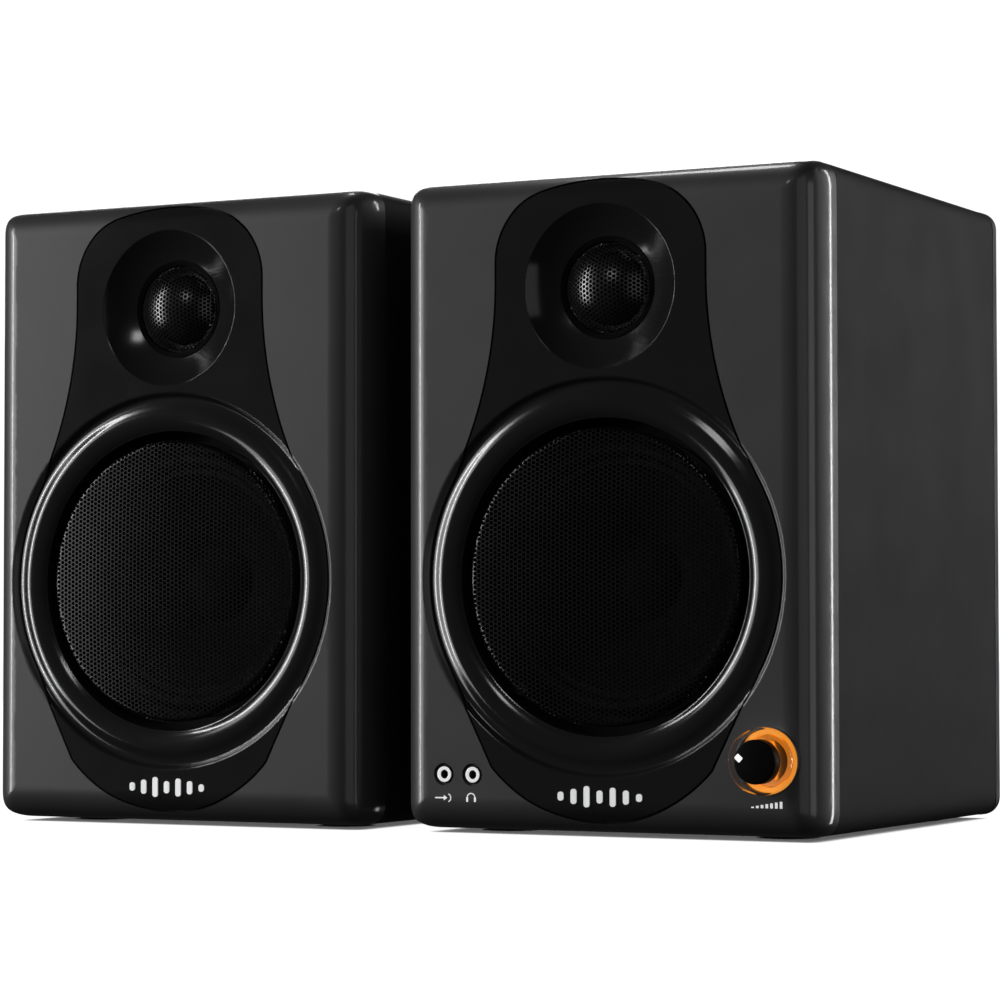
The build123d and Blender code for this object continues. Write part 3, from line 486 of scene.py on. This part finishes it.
def build_baffle(side, material):
    """The moulded front round the plate, with its rounded edges and, on the right, the controls' holes."""
    parts = Parts()
    groups = seam_groups(1)
    ring, _ = outline(SEAM)
    loops = [(0, len(ring))]
    inside = half_width(SEAM)
    clear = half_width(SEAM + SEAM_CLEAR)
    rim = edge_loop(REACH)
    loops.append((sum(len(flat) for flat, _ in groups), len(rim)))
    groups.append((rim, 0.0))
    holes = []
    if side == "right":
        holes = [(x, z, JACK_SEAT_R, 0.5) for x, z in JACKS.values()]
        holes.append((*KNOB, BEZEL_R, 0.9))
    add_loops(groups, loops, [ring_points(radius, step, x, z) for x, z, radius, step in holes])
    fill = [ring_points(r, 1.3, 0, WOOFER_Z) for r in np.arange(RING_R + 0.5, MOAT_R + 1.1, 0.45)]
    fill.append(grid(-FLAT_X + 1, FLAT_X - 1, MID_Z - FLAT_Z + 1, MID_Z + FLAT_Z - 1, 4.0))
    fill.append(grid(-FLAT_X + 1, FLAT_X - 1, 40, 145, 2.5) + [0.2, 0.3])
    edge_steps = np.concatenate([np.arange(0, ARC1, 1.05), np.linspace(ARC1, ARC2, 9), [REACH - 0.4]])
    flat = np.concatenate([to_flat(np.concatenate(fill)), *[edge_loop(m) for m in edge_steps]])
    x, _, z = front_surface(flat[:, 0], flat[:, 1], False)
    good = np.abs(x) > np.maximum(clear(z), 0)
    good &= ~((clear(z) < 0) & (np.abs(x) < 1) & (np.abs(z - MID_Z) < 116))
    for hx, hz, radius, _ in holes:
        good &= np.hypot(x - hx, z - hz) > radius + 0.4
    groups.append((flat[good], 0.0))

    def keep(flat):
        x, _, z = front_surface(flat[:, 0], flat[:, 1], False)
        ok = np.abs(x) > inside(z)
        for hx, hz, radius, _ in holes:
            ok &= np.hypot(x - hx, z - hz) > radius - 0.01
        return ok

    front_patch(side, groups, keep, parts, loops)
    _, depth, _ = front_surface(*to_flat(ring).T)
    wall(side, ring, True, depth + SOFT_DROP, depth + SHELF_D, parts)
    # the shelf under the seam
    n = len(ring)
    inner, _ = outline(-3.0)
    along = np.linspace(0, n, len(inner))
    shelf_in = np.stack([np.interp(np.arange(n), along, inner[:, k]) for k in (0, 1)], axis=1)
    edges = [site(side, edge[:, 0], depth + SHELF_D, edge[:, 1]) for edge in (ring, shelf_in)]
    parts.add(np.concatenate(edges), [f[::-1] for f in loop_faces(2, n)], np.tile([0, -1, 0], (2 * n, 1)))
    # the step at the back edge, where it meets the cabinet
    n = len(rim)
    x, _, z = front_surface(rim[:, 0], rim[:, 1])
    step = 0.6
    outer = site(side, x, FRONT_D, z)
    inner = site(side, x - np.sign(x) * step, FRONT_D + 0.02, MID_Z + (z - MID_Z) * (1 - step / HALF_H))
    parts.add(np.concatenate([outer, inner]), loop_faces(2, n), np.tile([0, 1, 0], (2 * n, 1)))
    if side == "right":
        for x, z in JACKS.values():
            wall(side, ring_points(JACK_SEAT_R, 0.5, x, z), True, 0.0, JACK_SEAT_D, parts)
            annulus(side, x, z, JACK_SEAT_R, JACK_HOLE_R, JACK_SEAT_D, JACK_SEAT_D, parts, 64)
            wall(side, ring_points(JACK_HOLE_R, 0.5, x, z), True, JACK_SEAT_D, 10.0, parts)
        x, z = KNOB
        seat_r, seat_d = LIGHT_R + 0.2, 3.0
        wall(side, ring_points(BEZEL_R, 0.9, x, z), False, -BEZEL_OUT, PLATE_T, parts)
        annulus(side, x, z, BEZEL_R, BEZEL_R - 0.25, -BEZEL_OUT, -BEZEL_OUT - 0.2, parts)
        annulus(side, x, z, BEZEL_R - 0.25, seat_r, -BEZEL_OUT - 0.2, -BEZEL_OUT - 0.1, parts)
        wall(side, ring_points(seat_r, 0.9, x, z), True, -BEZEL_OUT - 0.1, seat_d, parts)
        annulus(side, x, z, seat_r, 4.6, seat_d, seat_d, parts)
    obj = parts.object(f"{side}_baffle", material, SIDES[side][3])
    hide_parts(f"{side}_front_baffle")
    return obj


def build_cabinet(side, material):
    """The wrapped board, with softened ends that leave a fine seam at the front and the back."""
    rim = edge_loop(REACH)
    x, _, z = front_surface(rim[:, 0], rim[:, 1], False)
    n = len(rim)
    loop = np.stack([x, z - MID_Z], axis=1)
    tangent = np.roll(loop, -1, axis=0) - np.roll(loop, 1, axis=0)
    out = np.stack([tangent[:, 1], -tangent[:, 0]], axis=1)
    out /= np.linalg.norm(out, axis=1, keepdims=True)
    back = (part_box(f"{side}_cabinet")[1].y * 1000) - SIDES[side][1]
    # an end, as (distance in from it, growth, how much the normal turns to it)
    end = [(0.1, -9.0, 1.0), (0.1, -0.5, 1.0), (0.25, -0.14, 0.6), (0.55, 0.0, 0.0)]
    rows = [(FRONT_D + d, grow, lean) for d, grow, lean in end]
    rows += [(d, 0.0, 0.0) for d in np.linspace(FRONT_D + 8, back - 8, 12)]
    rows += [(back - d, grow, -lean) for d, grow, lean in end[::-1]]
    verts, normals = [], []
    for depth, grow, lean in rows:
        p = loop + out * grow
        verts.append(site(side, p[:, 0], depth, p[:, 1] + MID_Z))
        k = math.sqrt(max(0.0, 1 - lean * lean))
        normals.append(np.stack([out[:, 0] * k, np.full(n, -lean), out[:, 1] * k], axis=1))
    parts = Parts()
    faces = [f[::-1] for f in loop_faces(len(rows), n)]
    parts.add(np.concatenate(verts), faces, np.concatenate(normals))
    obj = parts.object(f"{side}_cabinet_wrap", material, SIDES[side][3])
    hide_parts(f"{side}_cabinet")
    return obj


# ---------------------------------------------------------------- grilles
def dome_depth(r, apex, radius, rim):
    """Depth of a spherical dome from its apex at the middle to rim at this radius."""
    sphere = (radius**2 + (rim - apex) ** 2) / (2 * (rim - apex))
    return apex + sphere - np.sqrt(sphere**2 - np.minimum(r, radius) ** 2)


def cup_profile(apex, shoulder_r, shoulder_d, radius, knee, skirt):
    """A dome, a rounded knee and a skirt, as radius and depth against the length along the sheet."""
    r = np.linspace(0, shoulder_r, 300)
    d = dome_depth(r, apex, shoulder_r, shoulder_d)
    t = np.linspace(0.1, math.pi / 2, 24)
    r = np.concatenate([r, shoulder_r + (radius - shoulder_r) * np.sin(t), [radius]])
    d = np.concatenate([d, shoulder_d + knee * (1 - np.cos(t)), [shoulder_d + knee + skirt]])
    run = np.concatenate([[0], np.cumsum(np.hypot(np.diff(r), np.diff(d)))])
    return run, r, d


def grille(side, name, z0, profile, pitch, column, hole, thickness, material, node):
    """A sheet of hexagonal wires following the profile, with a real hole in each cell."""
    run, radii, depths = profile
    reach = run[-1]
    squash = column / (pitch * math.sqrt(3) / 2)
    cell_r = pitch / math.sqrt(3)
    cols, rows = int(reach / column) + 2, int(reach / pitch) + 2
    verts, faces, index = [], [], {}

    def vert(x, z, back):
        key = (round(x, 3), round(z, 3), back)
        if key not in index:
            index[key] = len(verts)
            verts.append((x, z, back))
        return index[key]

    turns = [k * math.pi / 3 for k in range(6)]
    for i in range(-cols, cols + 1):
        for j in range(-rows, rows + 1):
            cx, cz = i * column, (j + (i % 2) / 2) * pitch
            if math.hypot(cx, cz) > reach - cell_r * 0.9:
                continue
            rim = [(cx + cell_r * squash * math.cos(a), cz + cell_r * math.sin(a)) for a in turns]
            gap = [(cx + hole * squash * math.cos(a), cz + hole * math.sin(a)) for a in turns]
            o = [[vert(*p, back) for p in rim] for back in (0, 1)]
            h = [[vert(*p, back) for p in gap] for back in (0, 1)]
            for k in range(6):
                n = (k + 1) % 6
                faces.append((o[0][k], o[0][n], h[0][n], h[0][k]))
                faces.append((o[1][k], h[1][k], h[1][n], o[1][n]))
                faces.append((h[0][k], h[0][n], h[1][n], h[1][k]))
    v = np.array(verts)
    u = np.hypot(v[:, 0], v[:, 1])
    r = np.interp(u, run, radii)
    slope_r = np.gradient(radii, run + np.arange(len(run)) * 1e-9)
    slope_d = np.gradient(depths, run + np.arange(len(run)) * 1e-9)
    depth = np.interp(u, run, depths)
    back_r = np.interp(u, run, slope_d)
    back_d = np.interp(u, run, slope_r)
    r = r - v[:, 2] * thickness * back_r
    depth = depth + v[:, 2] * thickness * back_d
    k = r / np.maximum(u, 1e-6)
    pts = site(side, v[:, 0] * k, depth, z0 + v[:, 1] * k)
    obj = make_object(name, pts, faces, material, SIDES[side][3], smooth_angle=35)
    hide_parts(node)
    return obj


# ---------------------------------------------------------------- materials
def add_node(tree, kind, **values):
    """A new shader node with its inputs set. An underscore stands for a space in an input's name."""
    node = tree.nodes.new(kind)
    for name, value in values.items():
        node.inputs[name.replace("_", " ")].default_value = value
    return node


def material(
    name, base, rough, metallic=0.0, grain=0.0, grain_size=0.4, rough_swing=0.06, tint=0.15,
    specular=0.5, coat=0.0, coat_rough=0.1, mottle=20.0, emission=None, strength=0.0,
    transmission=0.0, ior=1.5, stretch=(1, 1, 1), alpha=1.0, cells=False,
):
    """A procedural surface: slow mottling of colour and gloss, and a fine grain in relief.
    grain is the relief's height in millimetres, grain_size its spacing in millimetres."""
    mat = bpy.data.materials.new(name)
    mat.use_nodes = True
    tree = mat.node_tree
    bsdf = tree.nodes["Principled BSDF"]
    bsdf.inputs["Metallic"].default_value = metallic
    bsdf.inputs["Specular IOR Level"].default_value = specular
    bsdf.inputs["IOR"].default_value = ior
    bsdf.inputs["Coat Weight"].default_value = coat
    bsdf.inputs["Coat Roughness"].default_value = coat_rough
    bsdf.inputs["Transmission Weight"].default_value = transmission
    bsdf.inputs["Alpha"].default_value = alpha
    coords = add_node(tree, "ShaderNodeTexCoord")
    mapping = add_node(tree, "ShaderNodeMapping", Scale=stretch)
    tree.links.new(coords.outputs["Object"], mapping.inputs["Vector"])
    slow = add_node(tree, "ShaderNodeTexNoise", Scale=1000 / mottle, Detail=3)
    tree.links.new(mapping.outputs["Vector"], slow.inputs["Vector"])
    colours = add_node(tree, "ShaderNodeMix")
    colours.data_type = "RGBA"
    colours.inputs["A"].default_value = (*[c * (1 - tint) for c in base], 1)
    colours.inputs["B"].default_value = (*[min(1, c * (1 + tint)) for c in base], 1)
    tree.links.new(slow.outputs["Fac"], colours.inputs["Factor"])
    tree.links.new(colours.outputs["Result"], bsdf.inputs["Base Color"])
    gloss = add_node(
        tree, "ShaderNodeMapRange", From_Min=0.3, From_Max=0.7,
        To_Min=max(0.02, rough - rough_swing), To_Max=min(1, rough + rough_swing),
    )
    tree.links.new(slow.outputs["Fac"], gloss.inputs["Value"])
    tree.links.new(gloss.outputs["Result"], bsdf.inputs["Roughness"])
    if grain:
        if cells:
            fine = add_node(tree, "ShaderNodeTexVoronoi", Scale=1000 / grain_size)
            height = fine.outputs["Distance"]
        else:
            fine = add_node(tree, "ShaderNodeTexNoise", Scale=1000 / grain_size, Detail=2)
            height = fine.outputs["Fac"]
        tree.links.new(mapping.outputs["Vector"], fine.inputs["Vector"])
        bump = add_node(tree, "ShaderNodeBump", Distance=grain / 1000, Strength=1.0)
        tree.links.new(height, bump.inputs["Height"])
        tree.links.new(bump.outputs["Normal"], bsdf.inputs["Normal"])
    if emission:
        bsdf.inputs["Emission Color"].default_value = (*emission, 1)
        bsdf.inputs["Emission Strength"].default_value = strength
    return mat


SURFACES = {
    "satin_black": dict(
        base=(0.046, 0.046, 0.047), rough=0.46, rough_swing=0.03, tint=0.05, specular=0.46, coat=0.5,
        coat_rough=0.12, grain=0.002, grain_size=0.5,
    ),
    "plate_black": dict(
        base=(0.0122, 0.0122, 0.0126), rough=0.14, rough_swing=0.02, tint=0.05, grain=0.0005,
        grain_size=0.9,
    ),
    "cabinet_vinyl": dict(
        base=(0.036, 0.036, 0.037), rough=0.62, rough_swing=0.03, tint=0.05, specular=0.15, grain=0.02,
        grain_size=0.7, cells=True,
    ),
    "rear_board": dict(base=(0.026, 0.026, 0.027), rough=0.55, grain=0.03, grain_size=0.7, cells=True),
    "grille_black": dict(
        base=(0.0048, 0.0048, 0.0048), rough=0.24, rough_swing=0.02, tint=0.05, specular=0.28,
        grain=0.002, grain_size=0.25,
    ),
    "tweeter_mesh": dict(
        base=(0.085, 0.085, 0.085), rough=0.28, metallic=0.9, rough_swing=0.03, grain=0.002,
        grain_size=0.2,
    ),
    # painted sheen: the badge glows a little by its own emission
    "badge_silver": dict(
        base=(0.75, 0.76, 0.78), rough=0.28, metallic=0.4, grain=0.002, grain_size=0.15,
        stretch=(8, 1, 1), emission=(1, 1, 1), strength=0.45,
    ),
    "basket_steel": dict(
        base=(0.004, 0.004, 0.004), rough=0.6, specular=0.2, grain=0.01, grain_size=0.5,
    ),
    "surround_rubber": dict(
        base=(0.006, 0.006, 0.006), rough=0.65, specular=0.2, grain=0.006, grain_size=0.3,
    ),
    "cone_paper": dict(
        base=(0.007, 0.007, 0.007), rough=0.85, specular=0.15, grain=0.05, grain_size=0.8,
    ),
    "copper_wire": dict(
        base=(0.62, 0.3, 0.14), rough=0.3, metallic=1.0, grain=0.05, grain_size=0.25,
        stretch=(0.1, 1, 0.1),
    ),
    "spider_cloth": dict(base=(0.55, 0.4, 0.18), rough=0.8, grain=0.06, grain_size=0.4),
    "ferrite": dict(base=(0.05, 0.05, 0.05), rough=0.6, grain=0.03, grain_size=0.6),
    "zinc_steel": dict(base=(0.55, 0.56, 0.58), rough=0.3, metallic=1.0, grain=0.004, grain_size=0.3),
    "tweeter_metal": dict(base=(0.012, 0.012, 0.012), rough=0.5, grain=0.01, grain_size=0.4),
    "dome_silk": dict(base=(0.002, 0.002, 0.002), rough=0.9, specular=0.1, grain=0.02, grain_size=0.25),
    "port_plastic": dict(base=(0.03, 0.03, 0.03), rough=0.34, grain=0.006, grain_size=0.5),
    "foot_foam": dict(base=(0.015, 0.015, 0.015), rough=0.9, grain=0.1, grain_size=0.6),
    "screw_black": dict(base=(0.1, 0.1, 0.1), rough=0.3, metallic=0.9, grain=0.003, grain_size=0.3),
    "terminal_plastic": dict(base=(0.02, 0.02, 0.02), rough=0.4, grain=0.006, grain_size=0.4),
    "clip_red": dict(base=(0.45, 0.015, 0.012), rough=0.3, grain=0.003, grain_size=0.5),
    "clip_black": dict(base=(0.018, 0.018, 0.018), rough=0.3, grain=0.003, grain_size=0.5),
    "knob_black": dict(
        base=(0.005, 0.005, 0.005), rough=0.4, specular=0.03, grain=0.002, grain_size=0.3,
    ),
    "knob_clear": dict(
        base=(0.95, 0.94, 0.93), rough=0.04, transmission=1.0, ior=1.03, rough_swing=0.02, coat=0.2,
        coat_rough=0.05,
    ),
    # painted highlight: the white mark glows by its own emission
    "mark_white": dict(
        base=(0.85, 0.85, 0.85), rough=0.4, grain=0.002, grain_size=0.2, emission=(1, 1, 1),
        strength=0.7,
    ),
    "light_amber": dict(
        base=(0.55, 0.18, 0.02), rough=0.35, grain=0.004, grain_size=0.5, emission=(0.8, 0.27, 0.02),
        strength=0.9,
    ),
    "light_amber_dim": dict(
        base=(0.45, 0.13, 0.01), rough=0.35, grain=0.004, grain_size=0.5, emission=(0.7, 0.2, 0.01),
        strength=0.6,
    ),
    "pot_metal": dict(base=(0.5, 0.5, 0.5), rough=0.4, metallic=1.0, grain=0.004, grain_size=0.3),
    "jack_metal": dict(
        base=(0.05, 0.05, 0.05), rough=0.35, metallic=0.3, rough_swing=0.04, specular=0.2, grain=0.001,
        grain_size=0.2,
    ),
    # painted glint: the jack rims glow by their own emission
    "jack_rim": dict(
        base=(0.8, 0.8, 0.8), rough=0.25, metallic=0.3, grain=0.001, grain_size=0.2, emission=(1, 1, 1),
        strength=0.5,
    ),
    "circuit_board": dict(base=(0.02, 0.12, 0.04), rough=0.35, grain=0.02, grain_size=1.2),
    "amplifier_metal": dict(base=(0.034, 0.034, 0.035), rough=0.38, grain=0.02, grain_size=0.35),
    "transformer_steel": dict(
        base=(0.2, 0.2, 0.2), rough=0.45, metallic=1.0, grain=0.1, grain_size=0.6,
        stretch=(0.1, 0.1, 1),
    ),
    "rocker_black": dict(base=(0.014, 0.014, 0.014), rough=0.22, grain=0.002, grain_size=0.4),
    "socket_metal": dict(base=(0.7, 0.7, 0.72), rough=0.25, metallic=1.0, grain=0.002, grain_size=0.2),
    # painted highlight: the printed legends glow by their own emission
    "legend_white": dict(
        base=(0.75, 0.75, 0.75), rough=0.5, grain=0.001, grain_size=0.3, emission=(1, 1, 1),
        strength=0.45,
    ),
}
MATS = {name: material(name, **surface) for name, surface in SURFACES.items()}

SLOT_OF = {s["node"]: s["material_slot"] for s in frame["record"]["subparts"]}
for node, obj in NODES.items():
    obj.data.materials.clear()
    obj.data.materials.append(MATS[SLOT_OF[node]])

# ---------------------------------------------------------------- fronts
woofer_cup = cup_profile(apex=0.6, shoulder_r=52.4, shoulder_d=2.6, radius=54.0, knee=2.0, skirt=2.2)
tweeter_cup = cup_profile(apex=-1.0, shoulder_r=15.6, shoulder_d=6.6, radius=16.2, knee=0.9, skirt=3.0)
for side in SIDES:
    build_plate(side, MATS["plate_black"])
    build_baffle(side, MATS["satin_black"])
    build_cabinet(side, MATS["cabinet_vinyl"])
    grille(
        side, f"{side}_woofer_mesh", WOOFER_Z, woofer_cup, pitch=1.677, column=1.731, hole=0.735,
        thickness=0.4, material=MATS["grille_black"], node=f"{side}_woofer_grille",
    )
    grille(
        side, f"{side}_tweeter_mesh", TWEETER_Z, tweeter_cup, pitch=1.67, column=1.5, hole=0.76,
        thickness=0.3, material=MATS["tweeter_mesh"], node=f"{side}_tweeter_grille",
    )

# ---------------------------------------------------------------- knob and its light
def sleeve(r_in, r_out, d_front, d_back, soft):
    """Profile of a tube with rounded edges."""
    return rounded([(r_in, d_front), (r_in, d_back), (r_out, d_back), (r_out, d_front)], soft)


def paint_shade_on_glow(mat, x0, x1):
    """Paints shade on a lit material: fades its glow in along x, from x0 to x1 in metres, so it is dark
    below x0.
    """
    tree = mat.node_tree
    strength = tree.nodes["Principled BSDF"].inputs["Emission Strength"]
    coords = add_node(tree, "ShaderNodeTexCoord")
    apart = add_node(tree, "ShaderNodeSeparateXYZ")
    fade = add_node(tree, "ShaderNodeMapRange", From_Min=x0, From_Max=x1, To_Max=strength.default_value)
    tree.links.new(coords.outputs["Object"], apart.inputs["Vector"])
    tree.links.new(apart.outputs["X"], fade.inputs["Value"])
    tree.links.new(fade.outputs["Result"], strength)


# painted shade: the ring's glow is painted dark at its left, up to these distances from its middle
PAINTED_DARK_TO, PAINTED_DARK_ENDS = 0.0088, 0.0064
knob_x = float(site("right", KNOB[0], 0.0, KNOB[1])[0])
for lit in ("light_amber", "light_amber_dim"):
    paint_shade_on_glow(MATS[lit], knob_x - PAINTED_DARK_TO, knob_x - PAINTED_DARK_ENDS)

neck = KNOB_OUT - KNOB_BEVEL
bevel = [
    (KNOB_R - KNOB_BEVEL * (1 - math.cos(t)), -neck - KNOB_BEVEL * math.sin(t))
    for t in np.linspace(0.15, 1.4, 7)
]
knob = lathe(
    "knob_core", "right", *KNOB,
    [(0.001, -KNOB_BASE), (KNOB_R, -KNOB_BASE), (KNOB_R, -neck), *bevel, (0.001, -KNOB_OUT)],
    MATS["knob_black"], "volume_knob",
)
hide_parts("volume_knob")
collar = lathe(
    "knob_ring", "right", *KNOB, sleeve(KNOB_R + 0.05, COLLAR_R, -COLLAR_OUT, -COLLAR_BASE, 0.6),
    MATS["knob_clear"], "volume_knob",
)
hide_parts("knob_collar")
ring_out = lathe(
    "light_outer", "right", *KNOB, sleeve(9.25, 11.1, 0.1, 2.9, 0.3), MATS["light_amber"], "right_speaker"
)
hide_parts("light_ring")
ring_in = lathe(
    "light_inner", "right", *KNOB, sleeve(4.9, 9.05, 0.4, 2.9, 0.3), MATS["light_amber_dim"], "right_speaker"
)

# ---------------------------------------------------------------- jack rims, tweeter trims, printed marks
# painted glint: these rims' material glows by its own emission
for node, (x, z) in JACKS.items():
    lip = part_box(node)[0].y * 1000 - SIDES["right"][1]
    rim = lathe(
        f"{node}_rim", "right", x, z, sleeve(1.65, 2.85, lip - 0.12, lip + 0.5, 0.1),
        MATS["jack_rim"], "right_speaker",
    )
for side in SIDES:
    trim = lathe(
        f"{side}_tweeter_trim", side, 0, TWEETER_Z,
        [(16.95, 7.45), (16.95, 8.2), (18.6, 7.4), (18.6, 6.6)],
        MATS["dome_silk"], SIDES[side][3],
    )


def print_marks(name, outlines, depth, thick, material, body):
    """Thin printed shapes on the right front, each an outline of (x, z) points."""
    verts, faces = [], []
    for points in outlines:
        n = len(points)
        k = len(verts)
        for d in (depth, depth + thick):
            verts += [tuple(site("right", x, d, z).tolist()) for x, z in points]
        faces.append(tuple(range(k, k + n)))
        faces.append(tuple(range(k + 2 * n - 1, k + n - 1, -1)))
        faces += [(k + i, k + n + i, k + n + (i + 1) % n, k + (i + 1) % n) for i in range(n)]
    return make_object(name, verts, faces, material, body, smooth_angle=30)


def box_at(x0, z0, x1, z1):
    return [(x0, z0), (x1, z0), (x1, z1), (x0, z1)]


def band(cx, cz, radius, width, start, end, steps=14):
    """Outline of a curved band between two angles in degrees."""
    t = np.linspace(math.radians(start), math.radians(end), steps)
    outer = [(cx + radius * math.cos(a), cz + radius * math.sin(a)) for a in t]
    inner = [(cx + (radius - width) * math.cos(a), cz + (radius - width) * math.sin(a)) for a in t[::-1]]
    return outer + inner


def headphones_mark(x, z):
    pads = [box_at(x + s - 0.4, z - 1.5, x + s + 0.4, z + 0.1) for s in (-1.6, 1.6)]
    return [band(x, z, 1.8, 0.4, 0, 180), *pads]


def line_in_mark(x, z):
    shaft = box_at(x - 3.6, z - 0.25, x + 0.2, z + 0.25)
    head = [(x, z - 1.0), (x + 1.5, z), (x, z + 1.0)]
    return [shaft, head, band(x + 1.4, z, 1.7, 0.4, -70, 70)]


def volume_mark(x, z):
    bars = range(7)
    return [box_at(x - 5.4 + 1.8 * k, z, x - 4.4 + 1.8 * k, z + 0.5 + 0.32 * k) for k in bars]


marks = headphones_mark(-52.2, 12.2) + line_in_mark(-63.5, 12.0) + volume_mark(64.2, 11.0)
# painted highlight: the marks' material glows by its own emission
print_marks("printed_marks", marks, -0.03, 0.05, MATS["legend_white"], "right_speaker")

# ---------------------------------------------------------------- stage
FLOOR_HALF = 6.0  # metres
FLOOR_GLOW = 0.98

floor_mesh = bpy.data.meshes.new("floor")
corners = [(x * FLOOR_HALF, y * FLOOR_HALF, 0) for x, y in ((-1, -1), (1, -1), (1, 1), (-1, 1))]
floor_mesh.from_pydata(corners, [], [(0, 1, 2, 3)])
floor = bpy.data.objects.new("floor", floor_mesh)
bpy.context.scene.collection.objects.link(floor)
floor_mat = material(
    "floor_pale", (0.30, 0.30, 0.30), 0.8, tint=0.01, specular=0.0, emission=(1, 1, 1), strength=FLOOR_GLOW
)
floor_mesh.materials.append(floor_mat)
# painted contact shadow: the floor's glow fades close under the object
tree = floor_mat.node_tree
contact_shade_ao = add_node(tree, "ShaderNodeAmbientOcclusion", Distance=0.0028)
contact_shade_ao.samples = 16
under = add_node(tree, "ShaderNodeMapRange", From_Min=0.25, From_Max=0.65, To_Max=FLOOR_GLOW)
tree.links.new(contact_shade_ao.outputs["AO"], under.inputs["Value"])
tree.links.new(under.outputs["Result"], tree.nodes["Principled BSDF"].inputs["Emission Strength"])
floor.visible_glossy = False
floor.visible_diffuse = False

# white to the camera; to everything else dim, and a little brighter in front of the object
world = bpy.data.worlds.new("world")
bpy.context.scene.world = world
world.use_nodes = True
tree = world.node_tree
tree.nodes.clear()
coords = add_node(tree, "ShaderNodeTexCoord")
facing = add_node(tree, "ShaderNodeVectorMath")
facing.operation = "DOT_PRODUCT"
facing.inputs[1].default_value = (-0.33, -0.94, 0.08)
glow = add_node(tree, "ShaderNodeMapRange", From_Min=0.45, From_Max=0.95, To_Min=0.02, To_Max=0.06)
glow.interpolation_type = "SMOOTHSTEP"
dim = add_node(tree, "ShaderNodeBackground")
bright = add_node(tree, "ShaderNodeBackground", Color=(1, 1, 1, 1), Strength=1.05)
path = add_node(tree, "ShaderNodeLightPath")
mix = add_node(tree, "ShaderNodeMixShader")
out = add_node(tree, "ShaderNodeOutputWorld")
tree.links.new(coords.outputs["Generated"], facing.inputs[0])
tree.links.new(facing.outputs["Value"], glow.inputs["Value"])
tree.links.new(glow.outputs["Result"], dim.inputs["Strength"])
tree.links.new(path.outputs["Is Camera Ray"], mix.inputs["Fac"])
tree.links.new(dim.outputs["Background"], mix.inputs[1])
tree.links.new(bright.outputs["Background"], mix.inputs[2])
tree.links.new(mix.outputs["Shader"], out.inputs["Surface"])

# what the lights point at on the right speaker, in metres
FRONT_MIDDLE = (0.09, -0.1, 0.13)
TOP_CORNER = (0.156, -0.09, 0.24)


def strip(name, azimuth, elevation, distance, width, height, power, target):
    """An area light in a direction from its target: azimuth 0 is straight out of the fronts,
    positive to the right."""
    az, el = math.radians(azimuth), math.radians(elevation)
    out = Vector((math.sin(az) * math.cos(el), -math.cos(az) * math.cos(el), math.sin(el)))
    light = bpy.data.lights.new(name, "AREA")
    light.shape = "RECTANGLE"
    light.size, light.size_y = width, height
    light.energy = power
    obj = bpy.data.objects.new(name, light)
    obj.location = Vector(target) + out * distance
    obj.rotation_mode = "QUATERNION"
    obj.rotation_quaternion = out.to_track_quat("Z", "Y")
    bpy.context.scene.collection.objects.link(obj)


# name, azimuth, elevation, distance, width, height, power, target
for row in (
    ("strip_left", -61, 10, 1.7, 0.08, 1.5, 13, FRONT_MIDDLE),
    ("soft_left", -58, 2, 2.6, 1.1, 1.7, 26, FRONT_MIDDLE),
    ("soft_right", 57, 8, 1.9, 1.1, 1.6, 2.6, FRONT_MIDDLE),
    ("rim_right", 149, 4, 1.7, 0.06, 1.5, 8, FRONT_MIDDLE),
    ("side_right", 92, 0, 2.2, 0.9, 1.0, 3.9, FRONT_MIDDLE),
    ("soft_back", -146, 20, 2.4, 1.3, 1.2, 20, FRONT_MIDDLE),
    ("top_back", -130, 58, 0.62, 0.13, 0.13, 0.55, TOP_CORNER),
    ("small_front", 3, 31, 1.6, 0.24, 0.24, 1.6, FRONT_MIDDLE),
):
    strip(*row)

# ---------------------------------------------------------------- camera
CAMERA_FROM = (533.32, -1104.85, 72.83)  # mm from the right speaker's front, at its bottom middle
CAMERA_TURN = (92.205, 0.065, 27.434)  # degrees

camera_data = bpy.data.cameras.new("camera")
camera = bpy.data.objects.new("camera", camera_data)
bpy.context.scene.collection.objects.link(camera)
bpy.context.scene.camera = camera
camera.location = [(at + off) / 1000 for at, off in zip(SIDES["right"], CAMERA_FROM)]
camera.rotation_euler = [math.radians(turn) for turn in CAMERA_TURN]
camera_data.sensor_width = 36
camera_data.lens = 122.99
camera_data.clip_start, camera_data.clip_end = 0.01, 50
bpy.context.scene.view_settings.view_transform = "Standard"
